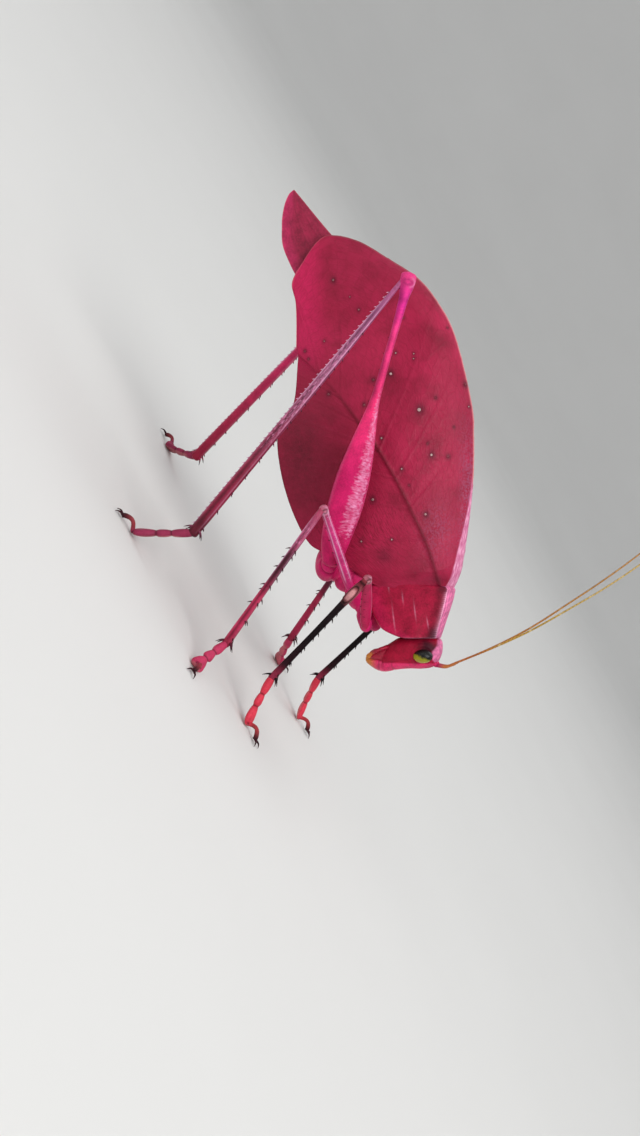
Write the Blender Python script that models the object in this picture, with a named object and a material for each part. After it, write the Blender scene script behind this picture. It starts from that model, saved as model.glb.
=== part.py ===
"""Leaf-mimic katydid, life size, standing still on a level floor.

Named sizes are millimetres and the meshes are metres. The ground frame has +X forward, +Y to the
animal's left and Z = 0 on the floor. The body frame is the ground frame pitched head down by
BODY_PITCH; the trunk, head and wings are drawn in it, and the legs in the ground frame.
"""
import math

import bmesh
import bpy
import numpy as np
from mathutils import Matrix, Vector

MM = 0.001
GAP = 0.3
SIDE_SIGN = {"right": -1.0, "left": 1.0}

# Stance: how the body frame sits in the ground frame.
BODY_PITCH = math.radians(29.0)
BODY_X = -0.78
BODY_Z = 0.83

# Tegmen, side view in the body frame as (x, z), from the shoulder.
MAIN_VEIN = [(-3.3, 22.4), (-6.7, 21.3), (-10.1, 19.8), (-13.2, 18.3), (-16.9, 16.1),
             (-19.5, 14.1), (-22.8, 11.4), (-25.9, 8.1)]
DORSAL_MARGIN = [(-3.1, 23.5), (-4.1, 24.15), (-5.6, 24.5), (-8.4, 24.9), (-11.4, 25.25),
                 (-14.4, 25.45), (-17.7, 25.45), (-21.1, 25.2), (-27.8, 23.5), (-31.4, 21.6),
                 (-33.7, 19.6), (-35.6, 16.7), (-37.2, 14.0), (-37.9, 11.3), (-37.2, 9.8),
                 (-35.4, 8.5), (-33.2, 7.3), (-31.0, 7.7), (-26.6, 7.85)]
VENTRAL_MARGIN = [(-3.3, 21.5), (-3.45, 19.2), (-4.2, 16.6), (-5.6, 13.6), (-6.3, 10.9),
                  (-7.2, 9.6), (-9.8, 8.15), (-13.1, 7.0), (-16.5, 6.4), (-18.6, 6.6),
                  (-21.0, 7.9), (-25.2, 8.1)]
WING_THICKNESS = 0.5
VEIN_HEIGHT = 0.22
VEIN_FADE = 0.6
BRANCH_COUNT = 8
BRANCH_WIDTH = 0.008
BRANCH_SWEEP = 2.2
UPPER_ROWS = [1.0, 0.95, 0.88, 0.75, 0.5, 0.25, 0.03]
LOWER_ROWS = [0.04, 0.35, 0.7, 1.0]

# How the two tegmina lean together like a tent: half widths at the belly, the rear and the
# dorsal edge, the x of each change, and the depth over which a section spreads.
BELLY_HALF_WIDTH = 3.35
REAR_HALF_WIDTH = 1.4
EDGE_HALF_WIDTH = 0.42
REAR_CLOSING = (-17.0, -30.0)
EDGE_OPENING = (-29.0, -36.0)
SHOULDER_EASING = (-4.0, -14.0)
SPREAD_DEPTH = 8.0
REAR_SPREAD_DEPTH = 3.0
SHOULDER_POWER = 0.45
REAR_POWER = 0.8

# Hind wing, folded between the tegmina, its tip standing out behind them.
HINDWING_TOP = [(-5.2, 22.5), (-9.0, 22.3), (-14.0, 22.8), (-20.0, 22.6), (-26.0, 20.9),
                (-30.5, 18.4), (-34.5, 14.6), (-37.9, 11.2), (-42.7, 7.2)]
HINDWING_LOW = [(-5.2, 21.7), (-9.0, 20.9), (-14.0, 19.2), (-20.0, 17.3), (-25.0, 16.4),
                (-29.5, 16.2), (-31.6, 13.0), (-32.4, 8.8), (-36.4, 6.3), (-39.1, 6.0),
                (-41.4, 6.3), (-42.5, 6.8)]
HINDWING_HALF_WIDTH = 0.4
HINDWING_SECTIONS = 15
FOLD_ROWS = [0.0, 0.22, 0.26, 0.3, 0.46, 0.5, 0.54, 0.7, 0.74, 0.78, 1.0]
FOLD_HEIGHT = 0.14

# Trunk sections in the body frame: x, middle height, half width, half height.
THORAX = [(-3.05, 18.25, 2.2, 2.85), (-3.5, 17.55, 2.4, 3.6), (-4.3, 17.05, 2.6, 4.15),
          (-5.5, 17.0, 2.6, 4.2), (-7.0, 17.0, 2.5, 4.1), (-8.8, 16.9, 2.3, 3.3)]
ABDOMEN = [(-9.1, 16.6, 2.3, 3.1), (-12.0, 15.9, 2.5, 3.2), (-16.0, 14.9, 2.45, 3.0),
           (-20.0, 13.9, 2.1, 2.5), (-23.0, 13.3, 1.55, 1.9), (-25.4, 13.0, 0.85, 1.1)]
SEGMENT_COUNT = 9
SEGMENT_STEP = 0.05
SEGMENT_OVERLAP = 0.12
TAIL_CAP = 0.35
TAIL_CAP_SCALE = 0.6

# Pronotum sections: x, ridge top, side ridge height, side ridge half width, lobe bottom.
PRONOTUM = [(-2.75, 23.7, 23.0, 1.85, 15.4), (-2.2, 23.65, 22.95, 1.85, 15.3),
            (-1.0, 23.35, 22.7, 1.8, 15.6), (0.4, 22.9, 22.35, 1.7, 16.2),
            (1.3, 22.6, 22.1, 1.65, 16.8), (1.9, 22.35, 21.95, 1.6, 18.2)]
LOBE_HALF_WIDTH = 2.72
LOBE_SHOULDER = 19.3
DISC_ROUNDING = 0.7

# Head sections from the vertex down: height, back x, front x, half width.
HEAD = [(22.35, 2.5, 4.3, 0.8), (22.1, 2.25, 4.75, 1.2), (21.5, 2.2, 5.05, 1.65),
        (20.5, 2.2, 5.2, 1.95), (19.4, 2.2, 5.2, 2.05), (18.3, 2.25, 5.25, 1.92),
        (17.5, 2.65, 5.3, 1.65), (16.95, 3.0, 5.3, 1.4)]
EYE_PLACE = (3.87, 1.88, 20.85)
EYE_RADII = (0.72, 0.72, 0.95)
EYE_SOCKET_GAP = 0.2
LABRUM = [(16.65, 4.55, 5.3, 1.0), (16.1, 4.5, 5.2, 1.0), (15.5, 4.4, 4.95, 0.85),
          (15.1, 4.3, 4.6, 0.55)]
MANDIBLE = [(16.65, 3.3, 4.2, 0.52), (16.1, 3.45, 4.15, 0.5), (15.6, 3.65, 4.1, 0.36)]
MANDIBLE_SIDE = 0.68
PALP_PATH = [(2.9, 1.75, 16.9), (3.05, 1.8, 16.3), (3.5, 1.65, 15.75), (4.1, 1.5, 15.35)]
PALP_RADII = [0.25, 0.26, 0.25, 0.27]

# Antennae: the scape in the body frame, the flagellum in the ground frame.
SCAPE_START = (5.12, 0.62, 22.3)
SCAPE_END = (4.92, 0.66, 22.95)
SCAPE_RADIUS = 0.3
FLAGELLUM_PATH = [(14.72, 19.2), (15.2, 23.5), (15.46, 27.5), (15.4, 31.7), (15.25, 35.9),
                  (14.85, 40.0), (13.9, 46.0), (12.2, 54.0), (9.7, 62.0), (6.4, 70.0)]
FLAGELLUM_RADIUS = 0.26
FLAGELLUM_TIP_RADIUS = 0.1
FLAGELLUM_POINTS = 24
FLAGELLUM_SPREAD = {"right": 4.5, "left": 6.5}

# Tail.
OVIPOSITOR_PATH = [(-26.2, 12.7), (-27.4, 12.6), (-28.6, 13.0), (-29.6, 13.9), (-30.1, 14.9)]
OVIPOSITOR_HALF_HEIGHT = [0.75, 0.85, 0.75, 0.5, 0.12]
OVIPOSITOR_HALF_WIDTH = [0.4, 0.38, 0.34, 0.3, 0.15]
CERCUS_PATH = [(-25.3, 1.2, 13.6), (-26.2, 1.35, 14.0), (-27.0, 1.2, 14.3), (-27.6, 0.9, 14.4)]
CERCUS_RADII = [0.26, 0.25, 0.2, 0.1]

WELD_DISTANCE = 1e-7

# Hips in the body frame for the left side: coxa start, coxa end, half width and half depth at
# each, femur base.
COXA = {
    "front": ((-0.1, 1.5, 14.8), (0.95, 2.75, 15.3), (0.6, 0.65), (0.6, 0.55),
              (0.75, 3.85, 15.4)),
    "mid": ((-2.0, 1.5, 14.15), (-2.3, 3.0, 14.0), (1.25, 0.9), (0.95, 0.75),
            (-2.95, 4.3, 13.9)),
    "hind": ((-5.3, 1.7, 11.35), (-4.6, 3.5, 11.3), (1.65, 1.15), (1.2, 0.95),
             (-5.4, 5.45, 12.4)),
}

# Leg joints in the ground frame.
LEG_POSE = {
    ("front", "right"): ((3.9, -8.2, 16.9), (7.9, -8.8, 4.3), (12.4, -10.0)),
    ("front", "left"): ((5.9, 10.2, 17.0), (8.9, 12.2, 4.4), (13.2, 13.6)),
    ("mid", "right"): ((-3.6, -11.5, 16.8), (3.4, -14.0, 3.0), (4.6, -19.0)),
    ("mid", "left"): ((-2.5, 11.0, 16.6), (3.6, 14.8, 3.2), (5.6, 19.4)),
    ("hind", "right"): ((-19.6, -7.95, 33.9), (-7.2, -14.2, 5.2), (-11.8, -15.4)),
    ("hind", "left"): ((-25.0, 7.6, 30.2), (-19.3, 17.0, 2.9), (-24.0, 21.0)),
}

# The folded hind tibia hangs from the underside of its knee.
HIND_KNEE_DROP = (0.35, 0.0, -1.65)

# Leg profiles: fraction of the length, middle offset, half width, half depth.
FEMUR_PROFILE = {
    "front": [(0.0, 0.0, 0.4, 0.42), (0.15, 0.0, 0.42, 0.52), (0.5, 0.0, 0.38, 0.54),
              (0.85, 0.0, 0.33, 0.42), (1.0, 0.0, 0.4, 0.44)],
    "mid": [(0.0, 0.0, 0.42, 0.42), (0.15, 0.0, 0.43, 0.48), (0.5, 0.0, 0.38, 0.44),
            (0.85, 0.0, 0.32, 0.37), (1.0, 0.0, 0.4, 0.44)],
    "hind": [(0.0, -0.1, 0.8, 0.95), (0.05, -0.2, 1.0, 1.3), (0.11, -0.22, 1.08, 1.52),
             (0.2, -0.15, 1.1, 1.66), (0.3, -0.1, 1.02, 1.58), (0.4, 0.0, 0.84, 1.3),
             (0.5, -0.05, 0.62, 0.86), (0.58, -0.15, 0.43, 0.48), (0.68, -0.2, 0.33, 0.36),
             (0.8, -0.12, 0.31, 0.35), (0.92, -0.03, 0.36, 0.42), (0.97, 0.0, 0.5, 0.62),
             (1.0, 0.0, 0.55, 0.66)],
}
TIBIA_PROFILE = {
    "front": [(0.0, 0.0, 0.3, 0.3), (0.08, 0.0, 0.43, 0.45), (0.2, 0.0, 0.44, 0.46),
              (0.28, 0.0, 0.34, 0.34), (0.6, 0.0, 0.29, 0.31), (1.0, 0.0, 0.36, 0.38)],
    "mid": [(0.0, 0.0, 0.28, 0.28), (0.1, 0.0, 0.33, 0.35), (0.5, 0.0, 0.29, 0.32),
            (1.0, 0.0, 0.37, 0.4)],
    "hind": [(0.0, 0.0, 0.25, 0.25), (0.08, 0.0, 0.27, 0.29), (0.35, 0.0, 0.36, 0.42),
             (0.7, 0.0, 0.4, 0.48), (1.0, 0.0, 0.44, 0.52)],
}
LIMB_SIDES = {"femur": {"front": 8, "mid": 8, "hind": 12}, "tibia": {"front": 8, "mid": 8, "hind": 8}}

# Spine rows: count, first and last fraction, angle from the outer edge in degrees, length.
SPINE_ROWS = {
    ("femur", "front"): [(4, 0.25, 0.85, 160.0, 0.4)],
    ("tibia", "front"): [(5, 0.3, 0.97, 140.0, 0.55), (5, 0.36, 0.97, 220.0, 0.55)],
    ("tibia", "mid"): [(6, 0.3, 0.97, 140.0, 0.55), (6, 0.35, 0.97, 220.0, 0.55),
                       (3, 0.32, 0.6, 20.0, 0.45)],
    ("tibia", "hind"): [(22, 0.1, 0.97, 12.0, 0.42), (7, 0.4, 0.96, 165.0, 0.4)],
}
SPINE_BASE_RADIUS = 0.16
SPINE_TIP_RADIUS = 0.03
SPINE_SUNK = 0.14
SPINE_LEAN = 0.55

# Tarsus: fraction of the foot's length, half width, half height.
TARSUS_PROFILE = [(0.0, 0.34, 0.36), (0.16, 0.42, 0.4), (0.28, 0.38, 0.34), (0.36, 0.5, 0.42),
                  (0.46, 0.4, 0.34), (0.54, 0.66, 0.38), (0.64, 0.74, 0.4), (0.7, 0.5, 0.36),
                  (0.74, 0.25, 0.26), (0.88, 0.2, 0.22), (1.0, 0.22, 0.22)]
PAD_FRACTION = 0.62
PAD_HEIGHT = 0.3
FOOT_SLOPE_POWER = 1.15
FOOT_SAMPLES = 60
CLAW_RISE = 0.55
CLAW_REACH = 0.75
CLAW_SPLAY = 0.35
CLAW_RADII = [0.16, 0.13, 0.05]

COLOURS = {
    "crimson": (0.36, 0.012, 0.055),
    "magenta": (0.70, 0.03, 0.20),
    "dark red": (0.14, 0.008, 0.02),
    "black": (0.012, 0.006, 0.008),
    "olive": (0.16, 0.17, 0.02),
    "golden": (0.55, 0.22, 0.03),
}


def clear_scene():
    for piece in list(bpy.data.objects):
        bpy.data.objects.remove(piece, do_unlink=True)


def make_material(name, colour, roughness):
    material = bpy.data.materials.new(name)
    material.use_nodes = True
    shader = material.node_tree.nodes["Principled BSDF"]
    shader.inputs["Base Color"].default_value = (*COLOURS[colour], 1.0)
    shader.inputs["Roughness"].default_value = roughness
    shader.inputs["Metallic"].default_value = 0.0
    return material


def make_empty(name, parent):
    empty = bpy.data.objects.new(name, None)
    model.objects.link(empty)
    empty.parent = parent
    return empty


def make_mesh(name, points, faces):
    """Turn points in millimetres into a triangle mesh whose faces point outward."""
    mesh = bpy.data.meshes.new(name)
    mesh.from_pydata((np.asarray(points) * MM).tolist(), [], faces)
    shaped = bmesh.new()
    shaped.from_mesh(mesh)
    bmesh.ops.triangulate(shaped, faces=shaped.faces)
    bmesh.ops.recalc_face_normals(shaped, faces=shaped.faces)
    shaped.to_mesh(mesh)
    shaped.free()
    mesh.shade_smooth()
    return mesh


def add_piece(name, mesh, colour, roughness, parent):
    """Put a mesh in the model's collection as a node with its own material."""
    piece = bpy.data.objects.new(name, mesh)
    model.objects.link(piece)
    piece.parent = parent
    mesh.materials.clear()
    mesh.materials.append(make_material(name + "_material", colour, roughness))
    return piece


def skin_rings(name, rings):
    """Skin a run of rings, each with the same number of points, and close both ends flat."""
    rings = np.asarray(rings, float)
    count, sides = rings.shape[:2]
    faces = []
    for row in range(count - 1):
        for side in range(sides):
            following = (side + 1) % sides
            start = row * sides
            faces.append((start + side, start + following,
                          start + sides + following, start + sides + side))
    faces.append(tuple(range(sides)))
    faces.append(tuple(range((count - 1) * sides, count * sides)))
    return make_mesh(name, rings.reshape(-1, 3), faces)


def oval(sides, power=2.0):
    """Unit oval as sideways and upward parts; a power above 2 squares its shoulders."""
    angle = np.arange(sides) * 2 * math.pi / sides
    across = np.sign(np.cos(angle)) * np.abs(np.cos(angle)) ** (2 / power)
    upward = np.sign(np.sin(angle)) * np.abs(np.sin(angle)) ** (2 / power)
    return across, upward


def lengthwise_rings(stations, sides, power=2.0):
    """Rings across X from stations of x, middle height, half width and half height."""
    across, upward = oval(sides, power)
    rings = []
    for x, middle, half_width, half_height in stations:
        ring = np.zeros((sides, 3))
        ring[:, 0] = x
        ring[:, 1] = half_width * across
        ring[:, 2] = middle + half_height * upward
        rings.append(ring)
    return rings


def upright_rings(stations, sides, middle_y=0.0, power=2.4):
    """Rings across Z from stations of height, back x, front x and half width."""
    across, upward = oval(sides, power)
    rings = []
    for height, back, front, half_width in stations:
        ring = np.zeros((sides, 3))
        ring[:, 0] = (back + front) / 2 + (front - back) / 2 * upward
        ring[:, 1] = middle_y + half_width * across
        ring[:, 2] = height
        rings.append(ring)
    return rings


def path_rings(path, half_widths, half_heights, sides):
    """Rings square to a path in the XZ plane, with their own half widths and heights."""
    path = np.asarray(path, float)
    forward = np.gradient(path, axis=0)
    forward /= np.linalg.norm(forward, axis=1)[:, None]
    across, upward = oval(sides)
    rings = []
    for place, way, half_width, half_height in zip(path, forward, half_widths, half_heights):
        ring = np.zeros((sides, 3))
        ring[:, 0] = place[0] - way[1] * half_height * upward
        ring[:, 1] = half_width * across
        ring[:, 2] = place[1] + way[0] * half_height * upward
        rings.append(ring)
    return rings


def domed(stations):
    """Add small end stations so that a limb's ends are rounded like a knob."""
    first, last = stations[0], stations[-1]
    start_radius = max(first[2], first[3])
    end_radius = max(last[2], last[3])
    rounded = []
    for reach, scale in ((0.95, 0.3), (0.6, 0.8)):
        x, middle, half_width, half_height = first
        rounded.append((x - reach * start_radius, middle, half_width * scale, half_height * scale))
    rounded.extend(stations)
    for reach, scale in ((0.6, 0.8), (0.95, 0.3)):
        x, middle, half_width, half_height = last
        rounded.append((x + reach * end_radius, middle, half_width * scale, half_height * scale))
    return rounded


def smooth_curve(points, steps=12):
    """Dense points on the smooth curve through the given ones, with their share of its length."""
    points = np.asarray(points, float)
    padded = np.vstack([2 * points[0] - points[1], points, 2 * points[-1] - points[-2]])
    share = np.linspace(0, 1, steps, endpoint=False)[:, None]
    runs = []
    for before, start, end, after in zip(padded, padded[1:], padded[2:], padded[3:]):
        linear = (end - before) * share
        square = (2 * before - 5 * start + 4 * end - after) * share ** 2
        cubic = (3 * start - before - 3 * end + after) * share ** 3
        runs.append(start + 0.5 * (linear + square + cubic))
    curve = np.vstack(runs + [points[-1:]])
    steps_taken = np.linalg.norm(np.diff(curve, axis=0), axis=1)
    length = np.concatenate([[0], np.cumsum(steps_taken)])
    return curve, length / length[-1]


def along(points, shares):
    """Places at the given shares of the length of the smooth curve through the points."""
    curve, length = smooth_curve(points)
    columns = [np.interp(shares, length, curve[:, axis]) for axis in range(curve.shape[1])]
    return np.stack(columns, axis=-1)


def blend(value, start, end):
    """Ease from 0 at start to 1 at end."""
    share = np.clip((value - start) / (end - start), 0, 1)
    return share * share * (3 - 2 * share)


def curved_rod(name, points, radii, bevel_resolution=1):
    """A tapered rod on a straight-jointed path, as a closed mesh with welded caps."""
    curve = bpy.data.curves.new(name, "CURVE")
    curve.dimensions = "3D"
    curve.bevel_depth = MM
    curve.bevel_resolution = bevel_resolution
    curve.use_fill_caps = True
    spline = curve.splines.new("POLY")
    spline.points.add(len(points) - 1)
    for knot, place, radius in zip(spline.points, points, radii):
        knot.co = (place[0] * MM, place[1] * MM, place[2] * MM, 1.0)
        knot.radius = radius
    rod = bpy.data.objects.new(name, curve)
    model.objects.link(rod)
    depsgraph = bpy.context.evaluated_depsgraph_get()
    mesh = bpy.data.meshes.new_from_object(rod.evaluated_get(depsgraph))
    bpy.data.objects.remove(rod)
    bpy.data.curves.remove(curve)
    welded = bmesh.new()
    welded.from_mesh(mesh)
    bmesh.ops.remove_doubles(welded, verts=welded.verts, dist=WELD_DISTANCE)
    bmesh.ops.triangulate(welded, faces=welded.faces)
    bmesh.ops.recalc_face_normals(welded, faces=welded.faces)
    welded.to_mesh(mesh)
    welded.free()
    mesh.shade_smooth()
    return mesh


def largest_surface(mesh):
    """Keep only the closed surface of a mesh that spans the most."""
    shaped = bmesh.new()
    shaped.from_mesh(mesh)
    waiting = set(shaped.verts)
    groups = []
    while waiting:
        stack = [waiting.pop()]
        group = set(stack)
        while stack:
            for edge in stack.pop().link_edges:
                for corner in edge.verts:
                    if corner in waiting:
                        waiting.remove(corner)
                        group.add(corner)
                        stack.append(corner)
        groups.append(group)
    groups.sort(key=len)
    for group in groups[:-1]:
        bmesh.ops.delete(shaped, geom=list(group), context="VERTS")
    bmesh.ops.triangulate(shaped, faces=shaped.faces)
    shaped.to_mesh(mesh)
    shaped.free()


def join_pieces(mesh, extras, operation="UNION"):
    """Fuse closed meshes into the first one, or cut them from it, with one Boolean."""
    base = bpy.data.objects.new(mesh.name + "_base", mesh)
    model.objects.link(base)
    group = bpy.data.collections.new(mesh.name + "_extras")
    cutters.children.link(group)
    for extra in extras:
        piece = bpy.data.objects.new(extra.name, extra)
        piece.hide_render = True
        piece.display_type = "WIRE"
        group.objects.link(piece)
    joining = base.modifiers.new("joining", "BOOLEAN")
    joining.operation = operation
    joining.operand_type = "COLLECTION"
    joining.collection = group
    depsgraph = bpy.context.evaluated_depsgraph_get()
    joined = bpy.data.meshes.new_from_object(base.evaluated_get(depsgraph))
    for piece in list(group.objects) + [base]:
        bpy.data.objects.remove(piece)
    bpy.data.collections.remove(group)
    largest_surface(joined)
    return joined


def aim(piece, start, end, up):
    """Place a piece at start, its X axis toward end and its Z axis as near up as it can be."""
    x_axis = (Vector(end) - Vector(start)).normalized()
    y_axis = Vector(up).cross(x_axis).normalized()
    z_axis = x_axis.cross(y_axis)
    piece.location = Vector(start) * MM
    piece.rotation_euler = Matrix((x_axis, y_axis, z_axis)).transposed().to_euler()


def ground_from_body(place):
    """Carry a place from the body frame to the ground frame."""
    turned = Matrix.Rotation(BODY_PITCH, 3, "Y") @ Vector(place)
    return turned + Vector((BODY_X, 0.0, BODY_Z))


def mirrored(place, side):
    """Left-side place, or its mirror image on the right."""
    return (place[0], place[1] * SIDE_SIGN[side], place[2])


def plate(name, grid, ridge, thickness, side):
    """Thin plate about a grid of middle points, its ridges raised on the outer face.

    Both faces are split into triangles alike, so the two stay apart where the plate curves.
    """
    normal = np.cross(np.gradient(grid, axis=0), np.gradient(grid, axis=1))
    normal /= np.linalg.norm(normal, axis=2)[..., None]
    normal *= (np.sign(normal[..., 1]) * SIDE_SIGN[side])[..., None]
    outer = grid + normal * (thickness / 2 + ridge)[..., None]
    inner = grid - normal * (thickness / 2)
    rows, columns = grid.shape[:2]
    points = np.vstack([outer.reshape(-1, 3), inner.reshape(-1, 3)])
    inner_start = rows * columns
    faces = []
    for row in range(rows - 1):
        for column in range(columns - 1):
            a = row * columns + column
            b = a + 1
            c = b + columns
            d = a + columns
            faces.append((a, b, c))
            faces.append((a, c, d))
            faces.append((inner_start + c, inner_start + b, inner_start + a))
            faces.append((inner_start + d, inner_start + c, inner_start + a))
    rim = list(range(columns))
    rim += [row * columns + columns - 1 for row in range(1, rows)]
    rim += [(rows - 1) * columns + column for column in range(columns - 2, -1, -1)]
    rim += [row * columns for row in range(rows - 2, 0, -1)]
    for here, there in zip(rim, rim[1:] + rim[:1]):
        faces.append((here, inner_start + here, inner_start + there))
        faces.append((here, inner_start + there, there))
    return make_mesh(name, points, faces)


def tent_half_width(x, z):
    """How far the tegmen's middle surface stands from the mid plane at a place in side view."""
    margin, _ = smooth_curve(DORSAL_MARGIN)
    rearmost = int(np.argmin(margin[:, 0]))
    upper = margin[:rearmost + 1][::-1]
    depth = np.clip(np.interp(x, upper[:, 0], upper[:, 1]) - z, 0, None)
    closing = blend(x, *REAR_CLOSING)
    belly = BELLY_HALF_WIDTH + (REAR_HALF_WIDTH - BELLY_HALF_WIDTH) * closing
    edge = EDGE_HALF_WIDTH + (REAR_HALF_WIDTH - EDGE_HALF_WIDTH) * blend(x, *EDGE_OPENING)
    reach = SPREAD_DEPTH + (REAR_SPREAD_DEPTH - SPREAD_DEPTH) * closing
    power = SHOULDER_POWER + (REAR_POWER - SHOULDER_POWER) * blend(x, *SHOULDER_EASING)
    rise = np.sin(np.clip(depth / reach, 0, 1) * math.pi / 2) ** power
    return edge + (belly - edge) * rise


def build_tegmen(side):
    """Leaf-shaped fore wing: a midrib with side veins swept back to both margins."""
    vein_places = (np.arange(BRANCH_COUNT) + 0.7) / (BRANCH_COUNT + 0.7)
    between = (vein_places[:-1] + vein_places[1:]) / 2
    shares = np.concatenate([[0, 1], vein_places - BRANCH_WIDTH, vein_places,
                             vein_places + BRANCH_WIDTH, between])
    shares = np.sort(shares)
    main = along(MAIN_VEIN, shares)
    top = along(DORSAL_MARGIN, shares)
    low = along(VENTRAL_MARGIN, 1 - (1 - shares) ** BRANCH_SWEEP)
    upper_rows = np.array(UPPER_ROWS)
    lower_rows = np.array(LOWER_ROWS)
    rows = [main + (top - main) * share for share in upper_rows]
    rows += [main]
    rows += [main + (low - main) * share for share in lower_rows]
    flat = np.stack(rows)
    x, z = flat[..., 0], flat[..., 1]
    grid = np.stack([x, tent_half_width(x, z) * SIDE_SIGN[side], z], axis=-1)
    fade = np.concatenate([1 - VEIN_FADE * upper_rows, [1], 1 - VEIN_FADE * lower_rows])
    is_vein = np.min(np.abs(shares[:, None] - vein_places[None, :]), axis=1) < 1e-6
    ridge = VEIN_HEIGHT * fade[:, None] * is_vein[None, :]
    ridge[len(upper_rows)] = VEIN_HEIGHT
    mesh = plate("tegmen_" + side, grid, ridge, WING_THICKNESS, side)
    return add_piece("tegmen_" + side, mesh, "crimson", 0.45, body)


def build_hindwing(side):
    """Folded hind wing: a thin pleated plate near the mid plane."""
    shares = np.linspace(0, 1, HINDWING_SECTIONS)
    top = along(HINDWING_TOP, shares)
    low = along(HINDWING_LOW, shares)
    flat = np.stack([low + (top - low) * share for share in FOLD_ROWS])
    half_width = np.full(flat.shape[:2], HINDWING_HALF_WIDTH * SIDE_SIGN[side])
    grid = np.stack([flat[..., 0], half_width, flat[..., 1]], axis=-1)
    ridge = np.zeros(flat.shape[:2])
    ridge[2::3, 1:-2] = FOLD_HEIGHT
    ridge[-1] = 0
    mesh = plate("hindwing_" + side, grid, ridge, WING_THICKNESS, side)
    return add_piece("hindwing_" + side, mesh, "crimson", 0.45, body)


def build_thorax():
    mesh = skin_rings("thorax", lengthwise_rings(THORAX, 14, 2.3))
    return add_piece("thorax", mesh, "magenta", 0.5, body)


def build_abdomen():
    """Tapering trunk end whose ring plates each overlap the next by a small step."""
    stations = np.array(ABDOMEN)
    ends = np.linspace(stations[0, 0], stations[-1, 0], SEGMENT_COUNT + 1)
    sections = []
    for front, rear in zip(ends, ends[1:]):
        for x, scale in ((front - SEGMENT_OVERLAP, 1 - SEGMENT_STEP), (rear, 1.0)):
            sizes = [np.interp(-x, -stations[:, 0], stations[:, column]) for column in (1, 2, 3)]
            sections.append((x, sizes[0], sizes[1] * scale, sizes[2] * scale))
    x, middle, half_width, half_height = sections[-1]
    sections.append((x - TAIL_CAP, middle, half_width * TAIL_CAP_SCALE, half_height * TAIL_CAP_SCALE))
    mesh = skin_rings("abdomen", lengthwise_rings(sections, 12, 2.1))
    return add_piece("abdomen", mesh, "dark red", 0.5, body)


def build_pronotum():
    """Saddle-shaped first ring: a pale low disc between side ridges and two deep lobes."""
    rings = []
    for x, top, ridge_height, ridge_half, bottom in PRONOTUM:
        shoulder = ridge_height + DISC_ROUNDING * (top - ridge_height)
        half = [(0.0, top), (ridge_half * 0.6, shoulder), (ridge_half, ridge_height),
                (ridge_half + 0.3, ridge_height - 0.7), (LOBE_HALF_WIDTH - 0.1, LOBE_SHOULDER),
                (LOBE_HALF_WIDTH, bottom + 1.4), (LOBE_HALF_WIDTH - 0.25, bottom + 0.3),
                (LOBE_HALF_WIDTH - 1.1, bottom), (0.0, bottom)]
        ring = [(x, y, z) for y, z in half]
        ring += [(x, -y, z) for y, z in half[-2:0:-1]]
        rings.append(ring)
    mesh = skin_rings("pronotum", rings)
    return add_piece("pronotum", mesh, "crimson", 0.45, body)


def build_head():
    """Narrow upright wedge, face flat in front, with a socket for each eye."""
    mesh = skin_rings("head", upright_rings(HEAD, 16))
    sockets = []
    for side in SIDE_SIGN:
        radii = [radius + EYE_SOCKET_GAP for radius in EYE_RADII]
        sockets.append(ball("socket_" + side, mirrored(EYE_PLACE, side), radii, 12, 8))
    mesh = join_pieces(mesh, sockets, "DIFFERENCE")
    return add_piece("head", mesh, "crimson", 0.4, body)


def ball(name, centre, radii, segments, rings):
    """Ellipsoid about a centre, all in millimetres."""
    shaped = bmesh.new()
    bmesh.ops.create_uvsphere(shaped, u_segments=segments, v_segments=rings, radius=1.0)
    for corner in shaped.verts:
        for axis in range(3):
            corner.co[axis] = (centre[axis] + corner.co[axis] * radii[axis]) * MM
    bmesh.ops.triangulate(shaped, faces=shaped.faces)
    mesh = bpy.data.meshes.new(name)
    shaped.to_mesh(mesh)
    shaped.free()
    mesh.shade_smooth()
    return mesh


def build_eye(side):
    mesh = ball("eye_" + side, (0.0, 0.0, 0.0), EYE_RADII, 14, 9)
    eye = add_piece("eye_" + side, mesh, "olive", 0.15, body)
    eye.location = Vector(mirrored(EYE_PLACE, side)) * MM
    return eye


def build_mouth(side):
    """Jaw and feeler of one side of the mouth."""
    middle = MANDIBLE_SIDE * SIDE_SIGN[side]
    jaw = skin_rings("mandible_" + side, upright_rings(MANDIBLE, 10, middle))
    add_piece("mandible_" + side, jaw, "dark red", 0.35, body)
    path = [mirrored(place, side) for place in PALP_PATH]
    palp = curved_rod("palp_" + side, path, PALP_RADII)
    add_piece("palp_" + side, palp, "golden", 0.45, body)


def build_labrum():
    mesh = skin_rings("labrum", upright_rings(LABRUM, 12))
    return add_piece("labrum", mesh, "golden", 0.4, body)


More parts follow.
